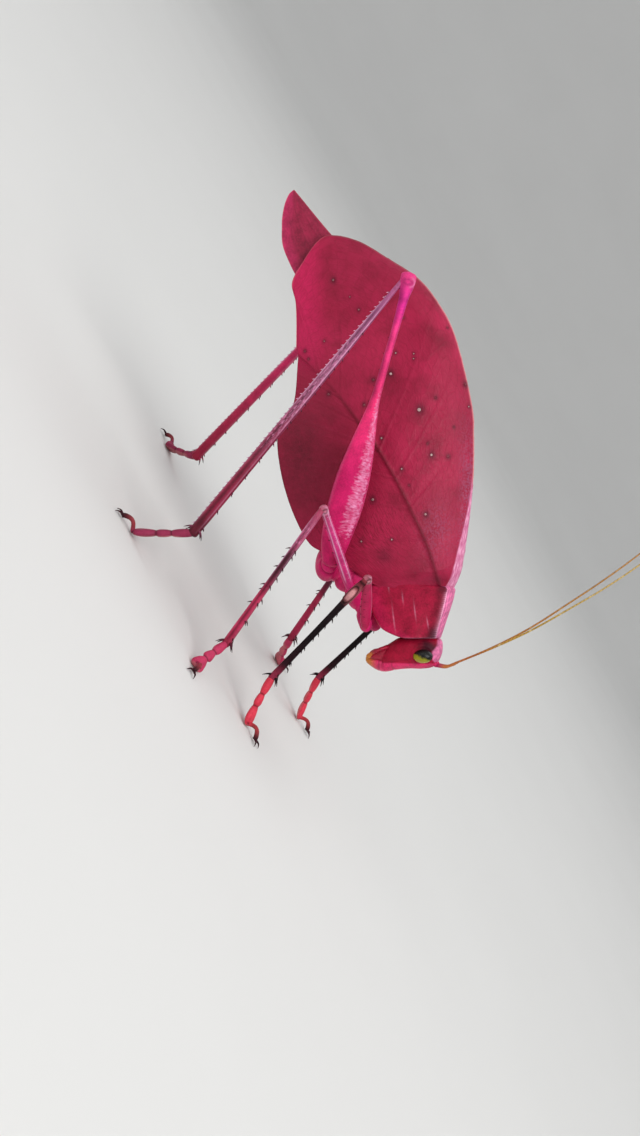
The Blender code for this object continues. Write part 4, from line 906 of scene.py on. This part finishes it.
limb_skin = skin_material("limb_skin", 0.4, grain=7.0, mottle=0.2, relief=0.025, specular=0.12)
for pair, stations in COXA.items():
    for side, sign in SIDES.items():
        share = np.linspace(0, 1, 90)
        table = along(stations, share)
        ring_joint = bell(share, 0.8, 0.03)
        cap = dome(1 - share / 0.2) * dome((share - 0.93) / 0.07) * (1 - 0.18 * ring_joint)
        rings = tube(mirror(table[:, :3], sign), (0, 0, 1), table[:, 3] * cap,
                     table[:, 4] * cap, 56)
        make_piece(f"{pair}_hip_{side}", [tube_shell(rings, tint=dye(MAGENTA, 0.35 * ring_joint))],
                   limb_skin, [f"{pair}_coxa_{side}"])

# Thighs and shins. Hollow horny tubes with keels along their edges; the hind thigh is swollen
# with a painted crinkled pale sheen on its upper side, the shins carry rows of small sharp spines.
# Each leg's knee and ankle, and where its toe rests on the floor.
LEG_POSE = {
    ("front", "right"): ((3.9, -8.2, 16.9), (7.9, -8.8, 4.3), (12.4, -10.0)),
    ("front", "left"): ((5.9, 10.2, 17.0), (8.9, 12.2, 4.4), (13.2, 13.6)),
    ("mid", "right"): ((-3.6, -11.5, 16.8), (3.4, -14.0, 3.0), (4.6, -19.0)),
    ("mid", "left"): ((-2.5, 11.0, 16.6), (3.6, 14.8, 3.2), (5.6, 19.4)),
    ("hind", "right"): ((-19.6, -7.95, 33.9), (-7.2, -14.2, 5.2), (-11.8, -15.4)),
    ("hind", "left"): ((-25.0, 7.6, 30.2), (-19.3, 17.0, 2.9), (-24.0, 21.0)),
}
# Profiles: share of the length, offset, half width and half depth.
FEMUR_PROFILE = {
    "front": [(0.0, 0.0, 0.4, 0.42), (0.15, 0.0, 0.42, 0.52), (0.5, 0.0, 0.38, 0.54),
              (0.85, 0.0, 0.33, 0.42), (1.0, 0.0, 0.38, 0.42)],
    "mid": [(0.0, 0.0, 0.42, 0.42), (0.15, 0.0, 0.43, 0.48), (0.5, 0.0, 0.38, 0.44),
            (0.85, 0.0, 0.32, 0.37), (1.0, 0.0, 0.38, 0.42)],
    "hind": [(0.0, -0.1, 0.8, 0.95), (0.05, -0.2, 1.0, 1.3), (0.11, -0.22, 1.08, 1.52),
             (0.2, -0.15, 1.1, 1.66), (0.3, -0.1, 1.02, 1.58), (0.4, -0.03, 0.82, 1.22),
             (0.47, 0.0, 0.64, 0.88), (0.55, 0.05, 0.46, 0.52), (0.62, 0.1, 0.36, 0.4),
             (0.72, 0.15, 0.32, 0.36), (0.82, 0.22, 0.31, 0.36), (0.92, 0.25, 0.36, 0.46),
             (0.97, 0.22, 0.5, 0.72), (1.0, 0.2, 0.52, 0.76)],
}
TIBIA_PROFILE = {
    "front": [(0.0, 0.0, 0.28, 0.28), (0.05, 0.0, 0.36, 0.36), (0.1, 0.0, 0.43, 0.45),
              (0.2, 0.0, 0.44, 0.46), (0.26, 0.0, 0.34, 0.34), (0.6, 0.0, 0.28, 0.3),
              (1.0, 0.0, 0.35, 0.37)],
    "mid": [(0.0, 0.0, 0.26, 0.26), (0.1, 0.0, 0.32, 0.34), (0.5, 0.0, 0.28, 0.31),
            (1.0, 0.0, 0.36, 0.4)],
    "hind": [(0.0, 0.0, 0.22, 0.22), (0.08, 0.0, 0.25, 0.27), (0.35, 0.0, 0.36, 0.42),
             (0.7, 0.0, 0.4, 0.48), (1.0, 0.0, 0.44, 0.52)],
}
# Spine rows: count, first and last share of the length, degrees from the upper edge, length and
# how dark the point is.
SPINE_ROWS = {
    ("femur", "front"): [(5, 0.25, 0.9, 165, 0.16, 1)],
    ("femur", "mid"): [(5, 0.3, 0.92, 170, 0.18, 1)],
    ("femur", "hind"): [(9, 0.5, 0.95, 175, 0.15, 1)],
    ("tibia", "front"): [(6, 0.32, 0.95, 140, 0.36, 1), (5, 0.38, 0.97, 220, 0.36, 1)],
    ("tibia", "mid"): [(6, 0.3, 0.95, 140, 0.42, 1), (5, 0.34, 0.97, 220, 0.42, 1),
                       (4, 0.3, 0.7, 20, 0.34, 1), (2, 0.36, 0.6, -20, 0.3, 1)],
    ("tibia", "hind"): [(48, 0.05, 0.97, 32, 0.22, 0), (48, 0.06, 0.98, -32, 0.2, 0),
                        (12, 0.2, 0.97, 158, 0.24, 1), (11, 0.3, 0.97, 202, 0.24, 1)],
}
SPUR_LENGTH = 0.6
FEMUR_DOTS = (0.22, 0.38, 0.54, 0.7)
# Colour stops along each part: share of the length and its colour.
PALETTES = {
    ("femur", "front"): [(0, 0.48, 0.012, 0.08), (0.6, 0.50, 0.018, 0.09), (0.9, 0.44, 0.03, 0.09),
                         (0.94, 0.62, 0.26, 0.30), (0.98, 0.62, 0.26, 0.30), (1, 0.42, 0.12, 0.16)],
    ("femur", "mid"): [(0, 0.60, 0.025, 0.16), (0.7, 0.62, 0.035, 0.2), (0.92, 0.56, 0.06, 0.18),
                       (0.95, 0.70, 0.26, 0.38), (1, 0.56, 0.14, 0.22)],
    ("femur", "hind"): [(0, 0.58, 0.014, 0.12), (0.3, 0.59, 0.012, 0.12), (0.55, 0.84, 0.035, 0.17),
                        (0.82, 0.93, 0.05, 0.25), (0.9, 0.86, 0.03, 0.33), (1, 0.82, 0.05, 0.24)],
    ("tibia", "front"): [(0, 0.22, 0.03, 0.04), (0.05, 0.15, 0.02, 0.03), (0.1, 0.26, 0.07, 0.08),
                         (0.2, 0.24, 0.07, 0.08), (0.25, 0.012, 0.005, 0.007),
                         (0.6, 0.006, 0.003, 0.004), (0.86, 0.02, 0.004, 0.008),
                         (1, 0.28, 0.025, 0.06)],
    ("tibia", "mid"): [(0, 0.42, 0.05, 0.11), (0.1, 0.44, 0.07, 0.16), (0.26, 0.36, 0.05, 0.12),
                       (0.35, 0.08, 0.010, 0.025), (0.5, 0.12, 0.010, 0.03),
                       (0.64, 0.40, 0.018, 0.07), (0.88, 0.46, 0.02, 0.08), (1, 0.26, 0.012, 0.04)],
    ("tibia", "hind"): [(0, 0.42, 0.09, 0.22), (0.1, 0.34, 0.09, 0.21), (0.35, 0.30, 0.075, 0.16),
                        (0.55, 0.26, 0.04, 0.09), (0.75, 0.25, 0.018, 0.05),
                        (0.9, 0.26, 0.012, 0.045), (0.96, 0.13, 0.007, 0.022),
                        (1, 0.10, 0.006, 0.018)],
}
FAR_TIBIA = [(0, 0.74, 0.04, 0.17), (0.45, 0.66, 0.025, 0.13), (0.75, 0.5, 0.02, 0.08),
             (1, 0.36, 0.014, 0.05)]
# Keels: degrees from the outward side toward the upper edge, height, width and paleness.
KEELS = {
    ("femur", "front"): [(70, 0.06, 9, 0.35), (110, 0.06, 9, 0.35), (200, 0.05, 9, 0.1)],
    ("femur", "mid"): [(40, 0.10, 8, 0.95), (-28, 0.10, 8, 0.85), (82, 0.05, 10, 0.2)],
    ("femur", "hind"): [(88, 0.03, 8, 0.15), (-62, 0.035, 8, 0.1), (-110, 0.035, 8, 0.1)],
    ("tibia", "front"): [(45, 0.06, 12, 0.0), (135, 0.06, 12, 0.0), (-45, 0.06, 12, 0.0)],
    ("tibia", "mid"): [(48, 0.14, 10, 0.75), (132, 0.14, 13, 0.6), (-48, 0.12, 10, 0.3),
                       (-132, 0.12, 13, 0.2)],
    ("tibia", "hind"): [(44, 0.16, 9, 0.95), (132, 0.16, 12, 0.8), (-40, 0.14, 9, 0.8),
                        (-132, 0.14, 12, 0.4)],
}
KEEL_PALE = np.array([0.74, 0.40, 0.58])
DRUM_PALE = np.array([0.36, 0.2, 0.2])
# Pale pink of the painted sheen on the legs.
SHEEN_PALE = (0.84, 0.30, 0.52)
SPINE_DARK = np.array([0.03, 0.006, 0.012])


def limb_material(name, roughness, specular=0.25):
    """Hard leg skin: mottled tint, with a crinkled pale sheen painted where the piece marks it."""
    material = skin_material(name, roughness, grain=6.0, mottle=0.22, relief=0.03,
                             specular=specular)
    tree = material.node_tree
    shader = tree.nodes["Principled BSDF"]
    plain = shader.inputs["Base Color"].links[0].from_socket
    skin = read_mark(tree, "skin_place", "Vector")
    frost = read_mark(tree, "frost")
    patches = remap(tree, lumps(tree, (1.1, 1.1, 1.0), 2.0, skin), 0.35, 0.6, 0.35, 1.0)
    streaks = lumps(tree, (5.0, 2.0, 1.0), 6.0, skin)
    crinkle = lumps(tree, (9.0, 2.5, 1.0), 3.0, skin)
    ragged = remap(tree, added(tree, streaks, times(tree, frost, 0.26)), 0.56, 0.86)
    ragged = times(tree, ragged, remap(tree, frost, 0.0, 0.25))
    feed(tree, shader.inputs["Base Color"],
         mix(tree, times(tree, ragged, patches), plain, SHEEN_PALE))
    height = shader.inputs["Normal"].links[0].from_node.inputs["Height"]
    creased = times(tree, times(tree, crinkle, frost), 4.0)
    feed(tree, height, added(tree, height.links[0].from_socket, creased))
    return material


def limb_grid(start, end, up, profile, rows, sides, power, near, far):
    """A leg part between two joints: half width, half depth and offset read from the profile
    at each share of the length, each end closed by a quarter circle beyond its joint."""
    start, end = np.asarray(start, float), np.asarray(end, float)
    length = np.linalg.norm(end - start)
    forward = (end - start) / length
    sideways = unit(np.cross(up, forward))
    upward = np.cross(forward, sideways)
    place = np.linspace(-near, length + far, rows)
    dense, _ = smooth_curve(profile, 12)
    share = place / length
    offset, wide, deep = (np.interp(share, dense[:, 0], dense[:, k]) for k in (1, 2, 3))
    cap = dome(-place / near, 0.004) * dome((place - length) / far, 0.004)
    middle = start + forward * place[:, None] + upward * offset[:, None]
    turn, across, lift = round_oval(sides, power)
    return dict(middle=middle, share=share, length=length, forward=forward, sideways=sideways,
                upward=upward, wide=wide * cap, deep=deep * cap, turn=turn, across=across,
                lift=lift, dense=dense, start=start)


def spine_shells(limb, rows, base_tint, thickness=0.1):
    """Curved cones in rows: each stands on the surface, leans toward the foot and thins by the
    share of its length left to the point."""
    shells = []
    for count, first, last, degrees, tall, darkness in rows:
        angle = math.radians(degrees)
        for share in np.linspace(first, last, count):
            offset, wide, deep = (np.interp(share, limb["dense"][:, 0], limb["dense"][:, k])
                                  for k in (1, 2, 3))
            outward = limb["sideways"] * math.sin(angle) + limb["upward"] * math.cos(angle)
            foot = (limb["start"] + limb["forward"] * share * limb["length"]
                    + limb["upward"] * (offset + 0.9 * deep * math.cos(angle))
                    + limb["sideways"] * 0.9 * wide * math.sin(angle))
            size = tall * (0.85 + 0.3 * abs(math.sin(share * 37.0)))
            step = np.linspace(0, 1, 6)[:, None]
            path = (foot + outward * size * step
                    + limb["forward"] * size * (0.35 * step + 0.5 * step ** 2))
            radius = (thickness * (0.5 + 0.5 * tall) + 0.03) * (1 - 0.92 * step[:, 0]) ** 0.8
            rings = rod(path, radius, 7, np.cross(outward, limb["forward"]))
            tip_tint = SPINE_DARK * darkness + KEEL_PALE * (1 - darkness)
            tint = dye(base_tint, blend(step[:, 0], 0.2, 0.75), tip_tint)
            shells.append(tube_shell(rings, tint=tint))
    return shells


def palette_tint(stops, share):
    """Colour at each share of the length, read between the stops."""
    stops = np.array(stops)
    return np.stack([np.interp(share, stops[:, 0], stops[:, k]) for k in (1, 2, 3)], axis=-1)


def leg_part(kind, pair, side, limb, nodes, material, stops):
    """Skin one thigh or shin: oval rings with keels, tinted by its palette, and its spines."""
    outward_sign = np.sign(limb["sideways"][1]) * SIDES[side]
    theta = np.degrees(np.where(outward_sign > 0, limb["turn"], math.pi - limb["turn"]))
    theta = (theta + 180.0) % 360.0 - 180.0
    share = limb["share"][:, None]
    fade = blend(share, 0.04, 0.16) * (1 - blend(share, 0.94, 1.0))
    swell = 1 + 0 * share * theta
    pale = 0 * swell
    for degrees, tall, width, paleness in KEELS[kind, pair]:
        near_keel = bell((theta - degrees + 180.0) % 360.0 - 180.0, 0.0, width)
        swell = swell + tall * near_keel * fade
        pale = np.maximum(pale, near_keel * paleness * fade)
    tint = palette_tint(stops, limb["share"])[:, None]
    # Painted sheen: a crinkled pale sheen on the hind thigh's upper side, the upper shins and the
    # mid thigh, over fine creased relief.
    frost = 0 * swell
    if (kind, pair) == ("femur", "hind"):
        run = blend(share, 0.05, 0.16) * (1 - blend(share, 0.52, 0.64))
        inner_line = -6.0 + 14.0 * blend(share, 0.1, 0.5)
        frost = blend(theta - inner_line, 0, 34) * (1 - blend(theta, 60, 86)) * run
        chevron = np.sin(share * 190.0 + np.abs(theta - 20.0) * 0.09)
        swell = swell + 0.010 * chevron * run * (0.4 + frost)
        # Painted highlight: the shaft is darkened except for a bright band along its upper side.
        shaft = blend(share, 0.5, 0.6) * (1 - blend(share, 0.95, 1.0))
        tint = dye(tint, -0.12 * bell(theta, -20, 40) * run)
        tint = dye(tint, 0.36 * shaft * (1 - bell(theta, 22, 30)))
    if kind == "tibia" and pair != "front":
        length_run = blend(share, 0.12, 0.3) * (1 - blend(share, 0.5, 0.75))
        frost = (0.5 * length_run if pair == "hind" else 0.3 * (1 - blend(share, 0.2, 0.4)))
        frost = frost * fade * (1 - blend(np.abs(theta), 30, 55))
        tint = dye(tint, 0.55 * bell(theta, 4.0, 14.0) * fade)
        pale = pale * (1 - 0.75 * blend(share, 0.35, 0.65))
    if (kind, pair) == ("femur", "mid"):
        frost = 0.3 * fade * (np.abs(theta - 60) < 50)
    if (kind, pair) == ("tibia", "front"):
        drum = np.hypot((share - 0.155) / 0.068, (np.abs(theta) - 6.0) / 34.0)
        swell = swell - 0.10 * (1 - blend(drum, 0.7, 1.0)) + 0.05 * bell(drum, 1.1, 0.15)
        tint = dye(tint, 0.9 * bell(drum, 1.12, 0.16))
        tint = tint + DRUM_PALE * (1 - blend(drum, 0.5, 0.9))[..., None]
        tint = dye(tint, 0.8 * bell(share, 0.035, 0.012))
    if (kind, pair) == ("femur", "front"):
        dots = bell(theta, -30.0, 11.0) * sum(bell(share, place, 0.008) for place in FEMUR_DOTS)
        tint = dye(tint, 0.95 * np.clip(dots, 0, 1))
    if kind == "femur":
        swell = swell + 0.06 * bell(share, 0.965, 0.03) * bell(theta, 0.0, 55.0)
        tint = dye(tint, 0.25 * bell(share, 0.92, 0.012))
        pivot = np.hypot((share - 0.98) * limb["length"] / 0.3, (theta - 8.0) / 42.0)
        pivot_darkness = 0.3 if pair == "hind" else 0.65
        tint = dye(tint, pivot_darkness * bell(pivot, 0.75, 0.35))
        pale = np.maximum(pale, 0.4 * bell(pivot, 1.5, 0.3) * blend(theta, 10, 50))
    tint = dye(tint, pale, KEEL_PALE)
    wide = (limb["wide"][:, None] * swell * limb["across"])[..., None] * limb["sideways"]
    deep = (limb["deep"][:, None] * swell * limb["lift"])[..., None] * limb["upward"]
    rings = limb["middle"][:, None] + wide + deep
    around = limb["turn"] * 0.5 * (limb["wide"] + limb["deep"]).max()
    lengthwise, crosswise = share * limb["length"] + 0 * around, around + 0 * share
    if kind == "tibia":
        lengthwise, crosswise = crosswise * 1.3, lengthwise
    skin_place = np.stack([lengthwise, crosswise, 0 * swell + len(pair)], axis=-1)
    shells = [tube_shell(rings, tint=tint, frost=frost, skin_place=skin_place)]
    base = palette_tint(stops, np.array([0.5]))[0] * 0.8
    shells += spine_shells(limb, SPINE_ROWS[kind, pair], base)
    if kind == "tibia":
        spurs = [(1, 0.985, 0.985, degrees, SPUR_LENGTH, 1) for degrees in (35, -35, 150, 210)]
        shells += spine_shells(limb, spurs, base, 0.12)
    make_piece(f"{pair}_{kind}_skin_{side}", shells, material, nodes, from_body=False)


thigh_skin = limb_material("thigh_skin", 0.38, specular=0.12)
shin_skin = limb_material("shin_skin", 0.33, specular=0.2)
black_shin = limb_material("black_shin", 0.3, specular=0.1)
ANKLE_REACH = 0.35
HIND_SHIN_DROP = np.array([0.25, 0.0, -0.75])
for (pair, side), (knee, ankle, _) in LEG_POSE.items():
    knee, ankle = np.array(knee), np.array(ankle)
    hip = ground_from_body(mirror(FEMUR_BASE[pair], SIDES[side]))
    knob = FEMUR_PROFILE[pair][-1][3]
    femur = limb_grid(hip, knee, (0, 0, 1), FEMUR_PROFILE[pair], rows=240, sides=60, power=2.0,
                      near=0.7, far=knob * 0.55)
    leg_part("femur", pair, side, femur, [f"{pair}_femur_{side}"], thigh_skin,
             PALETTES["femur", pair])
    if pair == "hind":
        shin_top = knee + HIND_SHIN_DROP
    else:
        shin_top = knee + unit(ankle - knee) * knob * 0.55
    tibia = limb_grid(shin_top, ankle, (-1, 0, -0.4), TIBIA_PROFILE[pair], rows=260, sides=48,
                      power=2.5, near=0.3, far=ANKLE_REACH)
    stops = FAR_TIBIA if (pair, side) == ("hind", "left") else PALETTES["tibia", pair]
    skin, slot = (black_shin, "black_shin") if pair == "front" else (shin_skin, "lilac_shin")
    leg_part("tibia", pair, side, tibia, [f"{pair}_tibia_{side}"], skin, stops)

# Feet. Four short joints: lobed pads that rest on the floor, then a slender last joint that
# lifts two hooked dark claws.
# Profile: share of the length, half width and half depth.
FOOT_PROFILE = [(0.0, 0.32, 0.34), (0.08, 0.4, 0.4), (0.18, 0.46, 0.38), (0.255, 0.34, 0.3),
                (0.32, 0.44, 0.36), (0.39, 0.52, 0.36), (0.44, 0.36, 0.3), (0.52, 0.6, 0.36),
                (0.62, 0.76, 0.38), (0.69, 0.6, 0.3), (0.74, 0.22, 0.22), (0.85, 0.19, 0.2),
                (0.95, 0.24, 0.24), (1.0, 0.2, 0.2)]
FOOT_JOINTS = (0.255, 0.44, 0.72)
PAD_SHARE = 0.62
PAD_HEIGHT = 0.3
CLAW_RISE = 0.55
FOOT_TINTS = {"front": (0.70, 0.045, 0.08), "mid": (0.52, 0.04, 0.11), "hind": (0.30, 0.03, 0.08)}
LAST_JOINT_BROWN = np.array([0.26, 0.035, 0.035])
CLAW_DARK = np.array([0.035, 0.006, 0.010])
SOLE_PALE = np.array([0.6, 0.22, 0.22])
# Each claw's path from the foot's tip: millimetres ahead and aside.
CLAW_PATH = [(-0.25, 0.0), (0.12, 0.12), (0.42, 0.36), (0.66, 0.5), (0.72, 0.54)]
# Its heights: two above the foot's tip, then two above the floor.
CLAW_ARCH = (0.04, 0.03)
CLAW_POINT = (0.14, 0.04)

for (pair, side), (_, ankle, toe) in LEG_POSE.items():
    ankle = np.array(ankle)
    heading = unit(np.array([toe[0] - ankle[0], toe[1] - ankle[1], 0.0]))
    share = np.linspace(0, 1, 240)
    path = ankle * (1, 1, 0) + heading * (share * math.dist(toe, ankle[:2]))[:, None]
    falling = np.clip(1 - share / PAD_SHARE, 0, 1) ** 1.15
    arching = np.sin(np.clip((share - PAD_SHARE) / (1 - PAD_SHARE), 0, 1) * math.pi)
    path[:, 2] = PAD_HEIGHT + (ankle[2] - PAD_HEIGHT) * falling + CLAW_RISE * arching
    length = np.concatenate([[0], np.cumsum(np.linalg.norm(np.diff(path, axis=0), axis=1))])
    share = np.linspace(0, 1, 170)
    path = np.stack([np.interp(share * length[-1], length, column) for column in path.T], axis=-1)
    dense, _ = smooth_curve(FOOT_PROFILE, 12)
    wide, deep = (np.interp(share, dense[:, 0], dense[:, k]) for k in (1, 2))
    pinch = sum(bell(share, joint, 0.012) for joint in FOOT_JOINTS)
    _, across, lift = round_oval(40)
    cleft = bell(share, 0.66, 0.05)[:, None] * bell(across, 0, 0.3)
    narrow = 1 - 0.12 * pinch
    rings = tube(path, (0, 0, 1), wide * narrow, (deep * narrow)[:, None] * (1 - 0.3 * cleft), 40)
    rings[..., 2] = np.maximum(rings[..., 2], 0.0)
    sole_run = 0.5 * blend(share, 0.1, 0.2) * (1 - blend(share, 0.7, 0.75))
    tint = dye(np.array(FOOT_TINTS[pair]), 0.6 * pinch)
    tint = dye(tint, sole_run[:, None] * blend(-lift, 0.3, 0.7), SOLE_PALE)
    tint = dye(tint, 0.8 * blend(share, 0.72, 0.8), LAST_JOINT_BROWN)
    tint = dye(tint, blend(share, 0.84, 1.0), CLAW_DARK)
    shells = [tube_shell(rings, tint=tint)]
    tip = path[-1]
    across_foot = np.cross((0, 0, 1), heading)
    step = np.linspace(0, 1, 22)
    for claw in SIDES.values():
        points = np.array([tip + heading * ahead + across_foot * claw * aside
                           for ahead, aside in CLAW_PATH])
        points[1:3, 2] = tip[2] + np.array(CLAW_ARCH)
        points[3:, 2] = CLAW_POINT
        rings = rod(along(points, step), 0.15 * (1 - 0.86 * step ** 1.3), 12, (0, 0, 1))
        rings[..., 2] = np.maximum(rings[..., 2], 0.0)
        shells.append(tube_shell(rings, tint=CLAW_DARK))
    make_piece(f"{pair}_foot_{side}", shells, limb_skin, [f"{pair}_tarsus_{side}"],
               from_body=False)

# Studio. A pale floor that curves up all round, soft lights above, and the camera low at the
# animal's right side, rolled so that its head points down the frame.
FLOOR_PROFILE = [(0.0, 0.0), (0.3, 0.0), (0.6, 0.0), (0.8, 0.01), (1.0, 0.08), (1.2, 0.3),
                 (1.3, 0.7), (1.32, 1.2)]
FLOOR_SIDES = 96
FLOOR_SINK = 0.00002
FLOOR_TINTS = (0.70, 0.69, 0.67), (0.74, 0.73, 0.71)
SKY_TINT = (0.93, 0.96, 1.0)
SKY_STRENGTH = 0.72
# Lights: place, size and power.
LIGHTS = {"key": ((0.16, -0.34, 0.36), 0.3, 1.4), "fill": ((-0.3, -0.35, 0.16), 0.4, 0.4),
          "top": ((-0.05, 0.22, 0.50), 0.4, 0.6)}
LIGHT_TARGET = Vector((0.0, 0.0, 0.02))
CAMERA_ELEVATION = math.radians(9.0)
CAMERA_SWING = math.radians(6.0)
CAMERA_ROLL = math.radians(29.0)
CAMERA_DISTANCE = 190.0
CAMERA_TARGET = np.array([0.0, 0.0, 12.0])
FOCAL_PIXELS = 1900.0
PICTURE_HEIGHT = 1136
SENSOR = 36.0

floor_curve, _ = smooth_curve(FLOOR_PROFILE)
turn, _, _ = round_oval(FLOOR_SIDES)
floor_points = np.stack([floor_curve[:, :1] * np.cos(turn), floor_curve[:, :1] * np.sin(turn),
                         floor_curve[:, 1:].clip(0, None) - FLOOR_SINK + 0 * turn], axis=-1)
index = np.arange(floor_points.shape[0] * FLOOR_SIDES).reshape(-1, FLOOR_SIDES)
onward = np.roll(index, -1, axis=1)
floor_faces = np.stack([index[:-1], onward[:-1], onward[1:], index[1:]], -1).reshape(-1, 4)
floor_mesh = bpy.data.meshes.new("floor")
floor_mesh.from_pydata(floor_points.reshape(-1, 3).tolist(), [],
                       floor_faces[FLOOR_SIDES:].tolist() + [index[1, ::-1].tolist()])
floor_mesh.shade_smooth()
floor_paint, tree, shader = new_material("floor_paint", 0.75, 0.3)
feed(tree, shader.inputs["Base Color"], mix(tree, lumps(tree, 0.02), *FLOOR_TINTS))
floor_mesh.materials.append(floor_paint)
floor = link_object("floor", floor_mesh)

world = bpy.data.worlds.new("studio")
world.use_nodes = True
sky = world.node_tree.nodes["Background"]
sky.inputs["Color"].default_value = (*SKY_TINT, 1.0)
sky.inputs["Strength"].default_value = SKY_STRENGTH
bpy.context.scene.world = world
for name, (place, size, power) in LIGHTS.items():
    lamp = bpy.data.lights.new(name, "AREA")
    lamp.size = size
    lamp.energy = power
    light = link_object(name, lamp)
    light.location = place
    aim = LIGHT_TARGET - Vector(place)
    light.rotation_euler = aim.to_track_quat("-Z", "Y").to_euler()

swing, rise, roll = CAMERA_SWING, CAMERA_ELEVATION, CAMERA_ROLL
backward = np.array([math.sin(swing) * math.cos(rise), -math.cos(swing) * math.cos(rise),
                     math.sin(rise)])
level = np.array([math.cos(swing), math.sin(swing), 0.0])
upright = np.cross(backward, level)
right = level * math.sin(roll) + upright * math.cos(roll)
upward = -level * math.cos(roll) + upright * math.sin(roll)
lens = bpy.data.cameras.new("camera")
lens.sensor_width = SENSOR
lens.lens = FOCAL_PIXELS / PICTURE_HEIGHT * SENSOR
lens.clip_start = 0.01
camera = link_object("camera", lens)
stand = (CAMERA_TARGET + backward * CAMERA_DISTANCE + GROUND_PLACE) * MM
camera.matrix_world = Matrix([[right[k], upward[k], backward[k], stand[k]] for k in range(3)]
                             + [[0.0, 0.0, 0.0, 1.0]])
bpy.context.scene.camera = camera
bpy.context.scene.view_settings.view_transform = "Standard"
